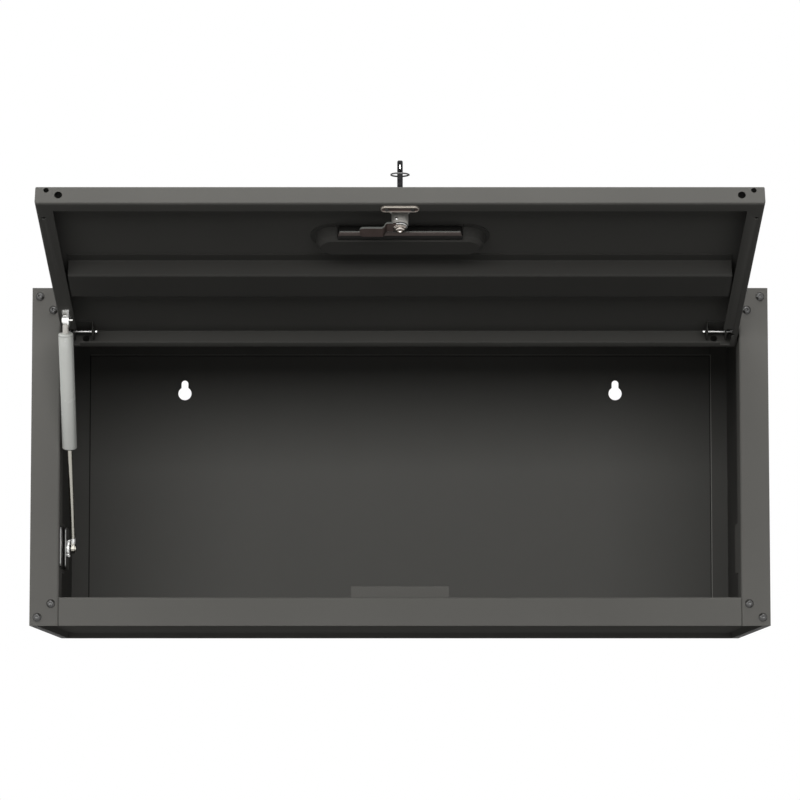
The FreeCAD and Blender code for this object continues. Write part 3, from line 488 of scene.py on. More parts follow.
def directions(count, start=0.0):
    """Cosine and sine of equal steps round a circle."""
    angles = [math.tau * (step + start) / count for step in range(count)]
    return [(math.cos(angle), math.sin(angle)) for angle in angles]


def turned(name, place, profile, material_name, count=48):
    """Surface of revolution: the profile is pairs of place along the axis and radius."""
    rings = [[place(along, radius * across, radius * upward) for across, upward in directions(count)]
             for along, radius in profile]
    mesh = ringed_mesh(name, rings, material_named(material_name))
    sharpen(mesh, math.radians(40))
    return link_object(name, mesh)


def strips_mesh(name, strips, depths, material_name):
    """Thin upright plates between two depths: each is a pair of X places and a pair of Z places."""
    form = bmesh.new()
    for (left, right), (low, high) in strips:
        corners = [form.verts.new(cabinet_point(x, y, z))
                   for x in (left, right) for y in depths for z in (low, high)]
        bmesh.ops.convex_hull(form, input=corners)
    mesh = bpy.data.meshes.new(name)
    form.to_mesh(mesh)
    form.free()
    mesh.materials.append(material_named(material_name))
    return link_object(name, mesh)


# Geometry Nodes

def scatter_tree():
    """Copies of one object on points, each turned by chance about Y."""
    tree, source, sink = new_tree(
        "GeometryNodeTree", "Fastener scatter",
        [("Geometry", "Geometry", None), ("Source", "Object", None), ("Material", "Material", None),
         ("Largest Turn", "Float", math.tau), ("Seed", "Int", 4)],
        [("Geometry", "Geometry")])
    nodes = tree.nodes
    shape = nodes.new("GeometryNodeObjectInfo")
    chance = nodes.new("FunctionNodeRandomValue")
    chance.data_type = "FLOAT"
    spin = nodes.new("ShaderNodeCombineXYZ")
    scatter = nodes.new("GeometryNodeInstanceOnPoints")
    real = nodes.new("GeometryNodeRealizeInstances")
    finish = nodes.new("GeometryNodeSetMaterial")
    wire(tree, (source, "Source", shape, "Object"), (source, "Largest Turn", chance, 3),
         (source, "Seed", chance, "Seed"), (chance, 1, spin, "Y"),
         (source, "Geometry", scatter, "Points"), (shape, "Geometry", scatter, "Instance"),
         (spin, "Vector", scatter, "Rotation"), (scatter, "Instances", real, "Geometry"),
         (real, "Geometry", finish, "Geometry"), (source, "Material", finish, "Material"),
         (finish, "Geometry", sink, "Geometry"))
    return tree


def coil_tree():
    """A round wire wound in a level coil."""
    tree, source, sink = new_tree(
        "GeometryNodeTree", "Wire coil",
        [("Geometry", "Geometry", None), ("Turns", "Float", 2.0), ("Coil Radius", "Float", 0.01),
         ("Rise", "Float", 0.001), ("Wire Radius", "Float", 0.0003), ("Centre", "Vector", None),
         ("Material", "Material", None)],
        [("Geometry", "Geometry")])
    nodes = tree.nodes
    coil = nodes.new("GeometryNodeCurveSpiral")
    coil.inputs["Resolution"].default_value = 96
    section = nodes.new("GeometryNodeCurvePrimitiveCircle")
    section.inputs["Resolution"].default_value = 14
    strand = nodes.new("GeometryNodeCurveToMesh")
    strand.inputs["Fill Caps"].default_value = True
    move = nodes.new("GeometryNodeTransform")
    smooth = nodes.new("GeometryNodeSetShadeSmooth")
    real = nodes.new("GeometryNodeRealizeInstances")
    finish = nodes.new("GeometryNodeSetMaterial")
    wire(tree, (source, "Turns", coil, "Rotations"), (source, "Coil Radius", coil, "Start Radius"),
         (source, "Coil Radius", coil, "End Radius"), (source, "Rise", coil, "Height"),
         (source, "Wire Radius", section, "Radius"), (coil, "Curve", strand, "Curve"),
         (section, "Curve", strand, "Profile Curve"), (strand, "Mesh", move, "Geometry"),
         (source, "Centre", move, "Translation"), (move, "Geometry", smooth, "Geometry"),
         (smooth, "Geometry", real, "Geometry"), (real, "Geometry", finish, "Geometry"),
         (source, "Material", finish, "Material"), (finish, "Geometry", sink, "Geometry"))
    return tree


def run_tree(name, tree, points, **values):
    """Run a tree on a mesh of points and return the plain mesh it makes."""
    mesh = bpy.data.meshes.new(name)
    mesh.from_pydata([tuple(point) for point in points], [], [])
    piece = link_object(name, mesh)
    modifier = piece.modifiers.new("Tree", "NODES")
    modifier.node_group = tree
    labels = {label.replace("_", " "): value for label, value in values.items()}
    for item in tree.interface.items_tree:
        if item.in_out == "INPUT" and item.name in labels:
            modifier[item.identifier] = labels[item.name]
    return settle(piece)


# Operators

class CABINET_OT_dress_frame(bpy.types.Operator):
    """Finish the stiles, the rails and the strike"""
    bl_idname = "cabinet.dress_frame"
    bl_label = "Dress Front Frame"

    def execute(self, context):
        dress(FRAME_NODES, "Frame powder coat")
        add_front_joints()
        return {"FINISHED"}


def add_front_joints():
    """Close the sheet joints at the lower ends of the stiles with dark strips, a painted shadow in the
    joints.
    """
    low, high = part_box("bottom_rail")
    ends = (low[0] / MILLIMETRE, high[0] / MILLIMETRE)
    strips = [((end - 1.6, end + 1.6), (0.7, 14.0)) for end in ends]
    ride_along(strips_mesh("front_joints", strips, (1.9, 2.6), "Seam shade"), "bottom_rail")


class CABINET_OT_dress_shell(bpy.types.Operator):
    """Finish the side, top, bottom and back panels and the side liners"""
    bl_idname = "cabinet.dress_shell"
    bl_label = "Dress Shell"

    def execute(self, context):
        dress(SHELL_NODES, "Panel powder coat")
        dress(SIDE_NODES, "Side powder coat")
        # The side liners take a darker copy of the panel paint, a painted shade
        dress(LINER_NODES, "Liner powder coat")
        # The bottom panel takes a lighter copy of the panel paint with no shine, painted light on its
        # underside
        dress(("bottom_panel",), "Underside powder coat")
        add_rear_seams()
        return {"FINISHED"}


def add_rear_seams():
    """Dark strips where the rear flanges lie on the back panel, a painted shadow, and light strips along
    the right and top flange edges, a painted highlight.
    """
    joints = [((-414.9, -413.6), (9.3, 379.0)), ((413.9, 414.9), (9.3, 379.0)),
              ((-413.6, 413.9), (378.0, 379.0))]
    edges = [((415.0, 416.2), (9.3, 380.2)), ((-413.6, 415.0), (379.1, 380.0))]
    for name, strips, material_name in (("rear_joints", joints, "Seam shade"),
                                        ("rear_flange_edges", edges, "Seam edge")):
        ride_along(strips_mesh(name, strips, (352.3, 353.75), material_name), "back_panel")


class CABINET_OT_dress_door(bpy.types.Operator):
    """Finish the door pan, its stiffener, the finger pull and the hinge brackets"""
    bl_idname = "cabinet.dress_door"
    bl_label = "Dress Door"

    def execute(self, context):
        pan = rounded_copy("door_pan", material_named("Door powder coat"),
                           context.scene.cabinet_finish.edge_round)
        stand_in(shaded_inside(notched(pan)), "door_pan")
        # The stiffener, the finger pull and the hinge brackets take a darker copy of the door's coat, a
        # painted shade
        dress(DOOR_INNER_NODES, "Door inner powder coat")
        return {"FINISHED"}


def shaded_inside(pan):
    """Give the faces inside the door's rim a darker copy of the door's coat, a painted shade."""
    down = (door_point(0, 0, 0) - door_point(0, 0, 1)).normalized()
    inside = (door_point(0, 1, 0) - door_point(0, 0, 0)).normalized()
    pan.data.materials.append(material_named("Door pan powder coat"))
    for face in pan.data.polygons:
        floor = face.normal.dot(inside) > 0.5
        wall = abs(face.normal.x) > 0.7 and face.normal.x * face.center.x < 0
        hinge_wall = face.normal.dot(down) > 0.7 and (face.center - door_point(0, 0, 200)).dot(down) < 0
        face.material_index = int(floor or wall or hinge_wall)
    return pan


def notched(pan):
    """Cut the door's side flanges back beside the hinge pins."""
    form = bmesh.new()
    for side in (-1, 1):
        corners = [form.verts.new(door_point(x, y, z)) for x in (side * 392.2, side * 404.6)
                   for y in (21.6, 25.0) for z in (331.0, 371.0)]
        bmesh.ops.convex_hull(form, input=corners)
    mesh = bpy.data.meshes.new("Notch cutter")
    form.to_mesh(mesh)
    form.free()
    cutter = link_object("Notch cutter", mesh)
    cut = pan.modifiers.new("Notch", "BOOLEAN")
    cut.operation = "DIFFERENCE"
    cut.solver = "EXACT"
    cut.object = cutter
    settle(pan)
    bpy.data.objects.remove(cutter)
    return pan


class CABINET_OT_dress_fittings(bpy.types.Operator):
    """Finish the brackets, pins, bushes, plates and small screws"""
    bl_idname = "cabinet.dress_fittings"
    bl_label = "Dress Fittings"

    def execute(self, context):
        dress(ZINC_NODES, "Zinc plate", 0.3 * MILLIMETRE)
        dress(("upper_strut_bracket",), "Knurled zinc", 0.3 * MILLIMETRE)
        dress(("lower_strut_bracket",), "Grey zinc", 0.25 * MILLIMETRE)
        dress(("strut_rod", "strut_lower_eye", "strut_pivot_stud"), "Ground steel", 0.25 * MILLIMETRE)
        ride_along(knurled("strut_boss", "Knurled zinc", 10.9, -411.6, -406.2), "lower_strut_bracket")
        collar = [(6.4, 2.6), (6.8, 3.25), (13.4, 3.25), (13.8, 2.6)]
        ride_along(turned("strut_collar", on_strut, collar, "Knurled zinc"), "strut_lower_eye")
        dress(BLACK_NODES, "Black plastic", 0.25 * MILLIMETRE)
        return {"FINISHED"}


class CABINET_OT_dress_lock(bpy.types.Operator):
    """Finish the lock and the key"""
    bl_idname = "cabinet.dress_lock"
    bl_label = "Dress Lock"

    def execute(self, context):
        dress(LOCK_NODES, "Satin cast", 0.3 * MILLIMETRE, 3)
        dress(("key_blade",), "Bright steel", 0.2 * MILLIMETRE)
        dress(("key_bow",), "Black plastic", 1.1 * MILLIMETRE, 4)
        ride_along(key_core(), "key_blade")
        return {"FINISHED"}


def key_core():
    """Steel core that shows in the upper part of the bow's slot."""
    rings = []
    for z, half in ((73.0, 0.5), (73.2, 0.75), (92.0, 0.75)):
        rings.append([door_point(x, y, z) for x, y in
                      ((-half, -51.2), (half, -51.2), (half, -45.0), (-half, -45.0))])
    mesh = ringed_mesh("key_core", rings, material_named("Bright steel"))
    sharpen(mesh, math.radians(30))
    return link_object("key_core", mesh)


def knurled(name, material_name, radius, near, far):
    """Ribbed round boss on the stile at the strut's lower pivot."""
    edge = 0.35
    middle = (near + far) / 2
    steps = 168
    steps_per_rib = 7
    steps_per_gap = 2
    gap_depth = 0.045
    profile = [(near, 0.8), (near, 0.97), (near + edge, 1.0), (middle - 0.7, 1.0), (middle - 0.5, 0.93),
               (middle + 0.5, 0.93), (middle + 0.7, 1.0), (far - edge, 1.0), (far, 0.97), (far, 0.5)]
    rings = []
    for x, size in profile:
        ring = []
        for step, (across, upward) in enumerate(directions(steps)):
            reach = radius * size * (1 - gap_depth * (step % steps_per_rib < steps_per_gap))
            ring.append(cabinet_point(x, STRUT_PIVOT[1] + reach * across,
                                      STRUT_PIVOT[2] + reach * upward))
        rings.append(ring)
    mesh = ringed_mesh(name, rings, material_named(material_name))
    sharpen(mesh, math.radians(30))
    return link_object(name, mesh)


class CABINET_OT_dress_strut(bpy.types.Operator):
    """Finish the gas strut's painted upper eye"""
    bl_idname = "cabinet.dress_strut"
    bl_label = "Dress Strut"

    def execute(self, context):
        stand_in(strut_end(), "strut_upper_eye")
        return {"FINISHED"}


def strut_end():
    """Round neck on the tube with a flat eye at its end."""
    top = 289.9
    neck = turned("strut_end", on_strut, [(273.2, 3.7), (276, 3.7), (279.5, 3.55), (282.5, 3.4),
                                          (284.5, 3.1)], "Satin cast", 40)
    eye = turned("strut_end_eye", on_eye(top), [(-3.0, 4.6), (-2.7, 5.2), (-2.3, 5.6), (2.3, 5.6),
                                                (2.7, 5.2), (3.0, 4.6)], "Knurled zinc", 40)
    form = bmesh.new()
    form.from_mesh(neck.data)
    count = len(form.faces)
    form.from_mesh(eye.data)
    form.faces.ensure_lookup_table()
    for face in form.faces[count:]:
        face.material_index = 1
    form.to_mesh(neck.data)
    form.free()
    neck.data.materials.append(material_named("Knurled zinc"))
    bpy.data.objects.remove(eye)
    return neck


def on_eye(height):
    """Places round an eye at a height on the strut, its hole along X."""
    def place(along, across, upward):
        return on_strut(height + upward, along, across)
    return place


class CABINET_OT_add_frame_screws(bpy.types.Operator):
    """Put a socket button-head screw at each of the eight places on the front frame"""
    bl_idname = "cabinet.add_frame_screws"
    bl_label = "Add Frame Screws"

    def execute(self, context):
        sizes = context.scene.cabinet_fittings
        material = material_named("Screw paint")
        source = link_object("Screw source", button_head_mesh(sizes, material))
        screws = run_tree("frame_screw_heads", shared_tree("Fastener scatter"),
                          frame_screw_places(sizes), Source=source, Material=material)
        bpy.data.objects.remove(source)
        stand_in(screws, "frame_screws")
        return {"FINISHED"}


def button_head_mesh(sizes, material):
    """Domed head on the plane Y = 0 with its crown toward -Y and a hexagon socket in it."""
    count = 48
    radius = sizes.screw_across / 2
    height = sizes.screw_height
    socket = sizes.screw_socket / 2
    rim = 0.13 * height

    def circle(ring_radius, y):
        return [Vector((ring_radius * across, -y, ring_radius * upward))
                for across, upward in directions(count)]

    def hexagon(half_across, y):
        points = []
        for step, (across, upward) in enumerate(directions(count)):
            from_flat = math.tau * step / count % (math.pi / 3) - math.pi / 6
            reach = half_across / math.cos(from_flat)
            points.append(Vector((reach * across, -y, reach * upward)))
        return points

    rings = [circle(radius * 0.55, -height * 0.4), circle(radius * 0.55, 0), circle(radius * 0.97, 0),
             circle(radius, rim * 0.5), circle(radius, rim)]
    flat = socket * 1.32
    for step in range(1, 9):
        turn = math.pi / 2 * step / 8
        reach = flat + (radius - flat) * math.cos(turn)
        drop = (height - rim) * (1 - (reach ** 2 - flat ** 2) / (radius ** 2 - flat ** 2))
        rings.append(circle(reach, rim + drop))
    rings.append(hexagon(socket * 1.06, height * 0.995))
    rings.append(hexagon(socket, height * 0.94))
    rings.append(hexagon(socket, height * 0.45))
    rings.append(circle(socket * 0.35, height * 0.30))
    mesh = ringed_mesh("Button head", rings, material)
    sharpen(mesh, math.radians(40))
    return mesh


def frame_screw_places(sizes):
    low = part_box("left_stile")[0]
    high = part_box("right_stile")[1]
    front = low[1]
    places = []
    insets = ((sizes.outer_inset_x, sizes.outer_inset_z), (sizes.inner_inset_x, sizes.inner_inset_z))
    for inset_x, inset_z in insets:
        for x in (low[0] + inset_x, high[0] - inset_x):
            for z in (low[2] + inset_z, high[2] - inset_z):
                places.append(Vector((x, front, z)))
    return places


class CABINET_OT_add_key_ring(bpy.types.Operator):
    """Wind the split ring that hangs in the key's bow"""
    bl_idname = "cabinet.add_key_ring"
    bl_label = "Add Key Ring"

    def execute(self, context):
        low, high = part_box("key_ring")
        turns = context.scene.cabinet_fittings.ring_turns
        wire_radius = context.scene.cabinet_fittings.ring_wire / 2
        centre = (Vector(low) + Vector(high)) / 2
        rise = 2.1 * wire_radius * (turns - 1)
        coil_radius = (high[0] - low[0]) / 2 - wire_radius
        ring = run_tree("split_ring", shared_tree("Wire coil"), [], Turns=float(turns),
                        Coil_Radius=coil_radius, Rise=rise, Wire_Radius=wire_radius,
                        Centre=centre - Vector((0, 0, rise / 2)), Material=material_named("Ring wire"))
        stand_in(ring, "key_ring")
        return {"FINISHED"}


class CABINET_OT_turn_hinge_pins(bpy.types.Operator):
    """Turn the two hinge pins with their thread and head"""
    bl_idname = "cabinet.turn_hinge_pins"
    bl_label = "Turn Hinge Pins"

    def execute(self, context):
        for node in ("left_hinge_pin", "right_hinge_pin"):
            stand_in(hinge_pin(node), node)
        return {"FINISHED"}


def hinge_pin(node):
    """Threaded pin: its inner end has a head, and its outer end runs in the stile's bush."""
    low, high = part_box(node)
    side = 1 if low[0] > 0 else -1
    inner = min(abs(low[0]), abs(high[0])) / MILLIMETRE
    outer = max(abs(low[0]), abs(high[0])) / MILLIMETRE
    middle = (Vector(low) + Vector(high)) / 2
    head_end = inner + 4.2
    pitch = 1.25
    profile = [(inner, 1.6), (inner + 0.3, 2.2), (inner + 0.7, 2.4), (head_end - 0.3, 2.4), (head_end, 2.2)]
    place = head_end
    while place < outer - 10:
        profile += [(place, 1.55), (place + 0.25, 1.5), (place + 0.65, 2.1), (place + 0.85, 2.1)]
        place += pitch
    profile += [(place, 1.7), (place + 0.3, 2.2), (outer - 0.4, 2.2), (outer, 1.8)]

    def on_pin(along, across, upward):
        return Vector((side * along * MILLIMETRE, middle.y + across * MILLIMETRE,
                       middle.z + upward * MILLIMETRE))

    return turned(node + "_turned", on_pin, profile, "Bright steel", 24)


class CABINET_OT_turn_strut_tube(bpy.types.Operator):
    """Turn the strut's tube with its rolled lip and bottle shoulder"""
    bl_idname = "cabinet.turn_strut_tube"
    bl_label = "Turn Strut Tube"

    def execute(self, context):
        low = 128.8
        top = 272.8
        profile = [(low + 0.6, 6.7), (low, 7.2), (low, 8.0), (low + 0.35, 8.6), (low + 1.2, 9.0),
                   (top - 3.4, 9.0), (top - 3.1, 8.8), (top - 2.7, 8.8), (top - 2.4, 9.0),
                   (top - 1.2, 9.0), (top - 0.5, 8.75), (top + 0.1, 8.2), (top + 0.5, 7.2),
                   (top + 0.7, 5.8), (top + 0.8, 3.4)]
        stand_in(turned("strut_tube_turned", on_strut, profile, "Strut paint", 72), "strut_tube")
        return {"FINISHED"}


class CABINET_OT_build_lock_stack(bpy.types.Operator):
    """Build the cam, the washer and the bolt on the end of the lock"""
    bl_idname = "cabinet.build_lock_stack"
    bl_label = "Build Lock Stack"

    def execute(self, context):
        collar = [(23.55, 6.2), (23.55, 8.7), (23.7, 8.85), (24.5, 8.85), (24.65, 8.7), (24.65, 6.2)]
        washer = [(27.2, 5.0), (27.2, 7.4), (27.45, 7.7), (28.0, 7.7), (28.2, 7.4), (28.2, 5.0)]
        bolt = [(27.9, 5.0), (28.2, 6.6), (28.4, 6.8), (28.9, 6.8), (29.1, 6.5), (29.1, 5.0), (29.3, 5.5),
                (30.5, 5.5), (31.1, 5.2), (31.4, 4.6), (31.4, 3.0), (31.0, 2.8), (30.4, 2.5), (30.3, 0.2)]
        stand_in(turned("stop_washer_turned", on_lock, collar, "Satin cast"), "stop_washer")
        stand_in(turned("cam_washer_turned", on_lock, washer, "Warm chrome"), "cam_washer")
        stand_in(turned("cam_bolt_turned", on_lock, bolt, "Warm chrome"), "cam_bolt")
        stand_in(stepped_cam(), "lock_cam")
        hub = [(25.35, 6.0), (25.35, 8.2), (25.55, 8.4), (26.5, 8.4), (26.8, 8.1), (26.8, 6.0)]
        ride_along(turned("cam_hub", on_lock, hub, "Knurled zinc"), "lock_cam")
        # Thin black rings between the barrel's end, the stop washer, the cam hub and the washer are a
        # painted shadow in their gaps
        shadow_rings = [(22.9, 7.0), (22.9, 8.7), (23.5, 8.7), (23.6, 6.5), (24.6, 6.5), (24.7, 8.7), (25.3, 8.7),
                (25.4, 6.5), (26.8, 6.5), (26.85, 7.5), (27.15, 7.5), (27.2, 6.5)]
        ride_along(turned("cam_gaps", on_lock, shadow_rings, "Black plastic"), "lock_cam")
        ball = []
        for step in range(11):
            turn = math.pi * step / 10
            ball.append((20.6 - 1.8 * math.cos(turn), max(1.8 * math.sin(turn), 0.05)))

        def on_barrel(along, across, upward):
            return on_lock(along, across - 4.0, upward - 8.7)

        ride_along(turned("lock_ball", on_barrel, ball, "Bright steel", 24), "lock_barrel")
        return {"FINISHED"}


def stepped_cam():
    """Flat cam with a step near its hub, its long end pointing left."""
    hub_front = 24.9
    tip_front = 31.5
    thickness = 2.3
    half = 9.5
    hub = 7.2
    edge = 0.35
    tip = -46
    tip_corner = 5.0
    step_end = -14.5
    step_length = 5.5
    places = [tip + tip_corner * (1 - math.cos(math.pi / 2 * step / 8)) for step in range(9)]
    places += [-32, -20.6, -19.8, -18.4, -16.4, -15.0, -14.2, -8.1, -7.9, 0]
    places += [hub * math.sin(math.pi / 2 * step / 10) for step in range(1, 10)]
    rings = []
    for x in places:
        half_width = half
        if x < tip + tip_corner:
            reach = tip_corner ** 2 - (tip + tip_corner - x) ** 2
            half_width = half - tip_corner + math.sqrt(max(reach, 0.01))
        if x >= -8:
            half_width = max(math.sqrt(hub ** 2 - max(x, 0) ** 2), edge * 2)
        climb = min(max((step_end - x) / step_length, 0), 1)
        front = hub_front + (tip_front - hub_front) * climb * climb * (3 - 2 * climb)
        back = front + thickness
        section = [(half_width - edge, front), (half_width, front + edge), (half_width, back - edge),
                   (half_width - edge, back), (edge - half_width, back), (-half_width, back - edge),
                   (-half_width, front + edge), (edge - half_width, front)]
        rings.append([on_lock(y, x, z) for z, y in section])
    # The cam's dark warm metal is a zinc cam with the warm reflection of its surroundings painted in
    mesh = ringed_mesh("stepped_cam", rings, material_named("Bronzed steel"))
    mesh.materials.append(material_named("Cut edge"))
    # One side edge of the cam's long end takes a lighter finish, a painted highlight
    for face in mesh.polygons[:-2]:
        if face.index % 8 in (4, 5, 6) and face.center.x < -0.008:
            face.material_index = 1
    sharpen(mesh, math.radians(30))
    return link_object("stepped_cam", mesh)


class CABINET_OT_build_buffer(bpy.types.Operator):
    """Build the plated buffer with its raised rim and its two screws"""
    bl_idname = "cabinet.build_buffer"
    bl_label = "Build Buffer Plate"

    def execute(self, context):
        steps = [(0.0, 23.4), (0.0, 25.4), (0.25, 25.9), (0.6, 26.2), (1.0, 26.25), (1.3, 26.1),
                 (1.5, 25.7), (1.8, 25.5), (4.4, 25.5)]
        rings = [stadium(22 - inset, 5.3 - inset, depth) for inset, depth in steps]
        recess_from = 6 * STADIUM_POINTS
        back_face = (len(steps) - 1) * STADIUM_POINTS
        mesh = ringed_mesh("buffer_form", rings, material_named("Warm nickel"))
        mesh.materials.append(material_named("Bronzed steel"))
        for face in mesh.polygons:
            face.material_index = int(face.index >= recess_from and face.index != back_face)
        sharpen(mesh, math.radians(40))
        stand_in(link_object("buffer_form", mesh), "buffer_plate")
        dress(("buffer_screws",), "Grey zinc", 0.2 * MILLIMETRE)
        return {"FINISHED"}


def stadium(half_length, radius, depth):
    """Outline with half-round ends round the buffer's middle on the shut door."""
    return [door_point(math.copysign(half_length - radius, across) + radius * across, depth,
                       BUFFER_HEIGHT + radius * upward)
            for across, upward in directions(STADIUM_POINTS, 0.5)]


class CABINET_OT_press_grip(bpy.types.Operator):
    """Press the smooth half-round trough of the finger pull"""
    bl_idname = "cabinet.press_grip"
    bl_label = "Press Grip"

    def execute(self, context):
        stand_in(grip_trough(), "grip_liner")
        return {"FINISHED"}


def grip_trough():
    """Half-round bar that sinks into the cup's wall at its ends."""
    radius = 8.2
    half_length = 72.5
    centre_y = 9.6
    centre_z = 124.4
    end_depth = 3.2
    end_steps = 14
    count = 72
    shine = range(57, 59)
    reflection_steps = range(59, 65)
    stations = [(-half_length, 0.05)]
    for step in range(1, end_steps + 1):
        turn = math.pi / 2 * step / end_steps
        stations.append((-half_length + end_depth * (1 - math.cos(turn)), radius * math.sin(turn)))
    rings = []
    for along, reach in stations + [(-along, reach) for along, reach in stations[::-1]]:
        rings.append([door_point(along, centre_y + radius * across, centre_z + reach * upward)
                      for across, upward in directions(count)])
    mesh = ringed_mesh("grip_trough", rings, material_named("Grip coat"))
    mesh.materials.append(material_named("Grip shine"))
    mesh.materials.append(material_named("Grip bronze"))
    # A narrow band along the bar takes a lighter metal, a painted highlight, and the band below it a dark
    # warm metal, a painted reflection
    for face in mesh.polygons[:-2]:
        step = face.index % count
        face.material_index = 1 if step in shine else 2 if step in reflection_steps else 0
    wall_mouth = door_point(0, 1.2, 122.9)
    wall_floor = door_point(0, 18.4, 125.9)
    across = (wall_floor - wall_mouth).cross(Vector((1, 0, 0))).normalized()
    if (door_point(0, centre_y, centre_z + 20) - wall_mouth).dot(across) < 0:
        across = -across
    form = bmesh.new()
    form.from_mesh(mesh)
    bmesh.ops.bisect_plane(form, geom=form.verts[:] + form.edges[:] + form.faces[:],
                           plane_co=wall_mouth, plane_no=across, clear_outer=True)
    form.to_mesh(mesh)
    form.free()
    piece = link_object("grip_trough", mesh)
    sheet = piece.modifiers.new("Sheet", "SOLIDIFY")
    sheet.thickness = 1.0 * MILLIMETRE
    sheet.offset = -1
    return settle(piece)


class CABINET_OT_build_stage(bpy.types.Operator):
    """Make the floor, the soft lights, the white surroundings and the camera"""
    bl_idname = "cabinet.build_stage"
    bl_label = "Build Stage"

    def execute(self, context):
        add_floor(context.scene.cabinet_stage)
        add_lights()
        add_world()
        add_camera(context.scene.cabinet_stage)
        context.scene.view_settings.view_transform = "Standard"
        return {"FINISHED"}


def front_and_bottom():
    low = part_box("left_stile")[0]
    return low[1], low[2]


def seen_directly(tree):
    """A value that is 1 for rays from the camera, reflections and refractions."""
    path = tree.nodes.new("ShaderNodeLightPath")
    glossy = tree.nodes.new("ShaderNodeMath")
    seen = tree.nodes.new("ShaderNodeMath")
    glossy.operation = "MAXIMUM"
    seen.operation = "MAXIMUM"
    wire(tree, (path, "Is Camera Ray", glossy, 0), (path, "Is Glossy Ray", glossy, 1),
         (glossy, "Value", seen, 0), (path, "Is Transmission Ray", seen, 1))
    return seen


def add_floor(stage):
    """A pale floor that glows a little, and more with distance, so that its far end stays white."""
    height = front_and_bottom()[1] - stage.floor_drop
    half = 40.0
    mesh = bpy.data.meshes.new("Floor")
    corners = [(-half, -half, height), (half, -half, height), (half, half, height), (-half, half, height)]
    mesh.from_pydata(corners, [], [(0, 1, 2, 3)])
    material = bpy.data.materials.new("Pale floor")
    material.use_nodes = True
    tree = material.node_tree
    shader = tree.nodes["Principled BSDF"]
    shader.inputs["Roughness"].default_value = 0.8
    shader.inputs["Emission Color"].default_value = (1, 1, 1, 1)
    tone = tree.nodes.new("ShaderNodeMix")
    tone.data_type = "RGBA"
    tone.inputs[6].default_value = (0.15, 0.15, 0.15, 1)
    tone.inputs[7].default_value = (0.92, 0.92, 0.92, 1)
    place = tree.nodes.new("ShaderNodeTexCoord")
    away = tree.nodes.new("ShaderNodeVectorMath")
    away.operation = "LENGTH"
    fade = mapped_range(tree, 1.5, 6.0, 0.2, 0.85)
    glow = tree.nodes.new("ShaderNodeMath")
    glow.operation = "MULTIPLY"
    seen = seen_directly(tree)
    wire(tree, (seen, "Value", tone, 0), (tone, 2, shader, "Base Color"),
         (place, "Object", away, 0), (away, "Value", fade, "Value"),
         (seen, "Value", glow, 0), (fade, "Result", glow, 1),
         (glow, "Value", shader, "Emission Strength"))
    mesh.materials.append(material)
    floor = link_object("Floor", mesh)


def add_area(name, place, target, size, power):
    lamp = bpy.data.lights.new(name, "AREA")
    lamp.shape = "RECTANGLE"
    lamp.size = size[0]
    lamp.size_y = size[1]
    lamp.energy = power
    light = bpy.data.objects.new(name, lamp)
    bpy.context.scene.collection.objects.link(light)
    light.location = place
    light.rotation_euler = (Vector(target) - Vector(place)).to_track_quat("-Z", "Y").to_euler()
    light.visible_camera = False
    return light


def add_lights():
    front, bottom = front_and_bottom()
    middle = Vector((0, front, bottom + 0.2))
    add_area("Front softbox", middle + Vector((-0.2, -3.9, 0.72)), middle, (4.6, 1.6), 104)
    add_area("Top softbox", middle + Vector((-0.1, -1.7, 3.1)), middle, (3.2, 1.8), 106)
    add_area("Left softbox", middle + Vector((-2.9, -0.95, 0.7)), middle, (0.3, 0.4), 10)


def add_world():
    """Soft light from above, and plain white to the camera and to reflections."""
    world = bpy.data.worlds.new("Studio")
    bpy.context.scene.world = world
    world.use_nodes = True
    tree = world.node_tree
    back = tree.nodes["Background"]
    back.inputs["Color"].default_value = (1, 1, 1, 1)
    place = tree.nodes.new("ShaderNodeTexCoord")
    split = tree.nodes.new("ShaderNodeSeparateXYZ")
    height = mapped_range(tree, -0.7, 0.8, 0.065, 0.30)
    strength = tree.nodes.new("ShaderNodeMix")
    strength.data_type = "FLOAT"
    strength.inputs[3].default_value = 1.0
    seen = seen_directly(tree)
    wire(tree, (place, "Generated", split, "Vector"), (split, "Z", height, "Value"),
         (seen, "Value", strength, 0), (height, "Result", strength, 2),
         (strength, 0, back, "Strength"))


def add_camera(stage):
    front, bottom = front_and_bottom()
    lens = bpy.data.cameras.new("Photo camera")
    lens.lens = stage.camera_lens
    lens.sensor_width = 36
    lens.shift_y = stage.camera_shift
    lens.clip_end = 100
    camera = bpy.data.objects.new("Photo camera", lens)
    bpy.context.scene.collection.objects.link(camera)
    camera.location = (0, front - stage.camera_distance, bottom - stage.camera_below)
    camera.rotation_euler = (math.pi / 2 + stage.camera_tilt, 0, 0)
    bpy.context.scene.camera = camera


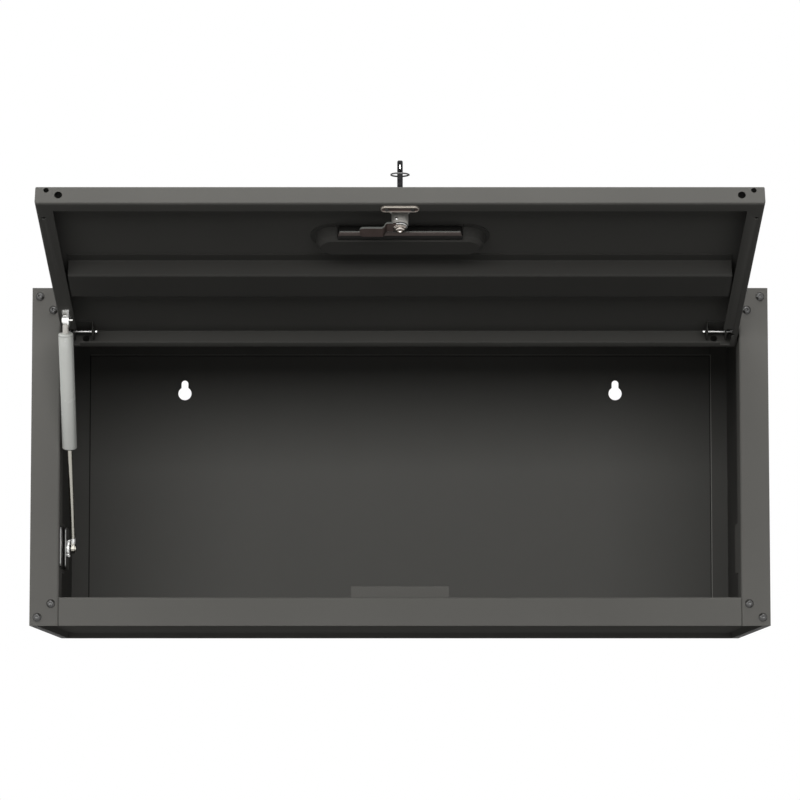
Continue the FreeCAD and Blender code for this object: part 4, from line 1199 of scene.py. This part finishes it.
class CABINET_PT_panel(bpy.types.Panel):
    """Finishes and fittings of the cabinet"""
    bl_label = "Tool Cabinet"
    bl_idname = "CABINET_PT_panel"
    bl_space_type = "VIEW_3D"
    bl_region_type = "UI"
    bl_category = "Cabinet"

    def draw(self, context):
        layout = self.layout
        for group in (context.scene.cabinet_finish, context.scene.cabinet_fittings,
                      context.scene.cabinet_stage):
            for name in group.__annotations__:
                layout.prop(group, name)
        for operator in OPERATORS:
            layout.operator(operator.bl_idname)


GROUPS = (CabinetFinish, CabinetFittings, CabinetStage)
OPERATORS = (
    CABINET_OT_build_stage, CABINET_OT_dress_frame, CABINET_OT_dress_shell, CABINET_OT_dress_door,
    CABINET_OT_dress_fittings, CABINET_OT_dress_lock, CABINET_OT_dress_strut,
    CABINET_OT_add_frame_screws, CABINET_OT_turn_hinge_pins, CABINET_OT_turn_strut_tube,
    CABINET_OT_build_lock_stack, CABINET_OT_build_buffer, CABINET_OT_press_grip,
    CABINET_OT_add_key_ring,
)


def register():
    for entry in GROUPS + OPERATORS + (CABINET_PT_panel,):
        bpy.utils.register_class(entry)
    bpy.types.Scene.cabinet_finish = PointerProperty(type=CabinetFinish)
    bpy.types.Scene.cabinet_fittings = PointerProperty(type=CabinetFittings)
    bpy.types.Scene.cabinet_stage = PointerProperty(type=CabinetStage)


def unregister():
    del bpy.types.Scene.cabinet_stage
    del bpy.types.Scene.cabinet_fittings
    del bpy.types.Scene.cabinet_finish
    for entry in (CABINET_PT_panel,) + OPERATORS[::-1] + GROUPS[::-1]:
        bpy.utils.unregister_class(entry)


def main():
    register()
    bpy.ops.cabinet.build_stage()
    bpy.ops.cabinet.dress_frame()
    bpy.ops.cabinet.dress_shell()
    bpy.ops.cabinet.dress_door()
    bpy.ops.cabinet.dress_fittings()
    bpy.ops.cabinet.dress_lock()
    bpy.ops.cabinet.dress_strut()
    bpy.ops.cabinet.add_frame_screws()
    bpy.ops.cabinet.turn_hinge_pins()
    bpy.ops.cabinet.turn_strut_tube()
    bpy.ops.cabinet.build_lock_stack()
    bpy.ops.cabinet.build_buffer()
    bpy.ops.cabinet.press_grip()
    bpy.ops.cabinet.add_key_ring()


if __name__ == "__main__":
    main()
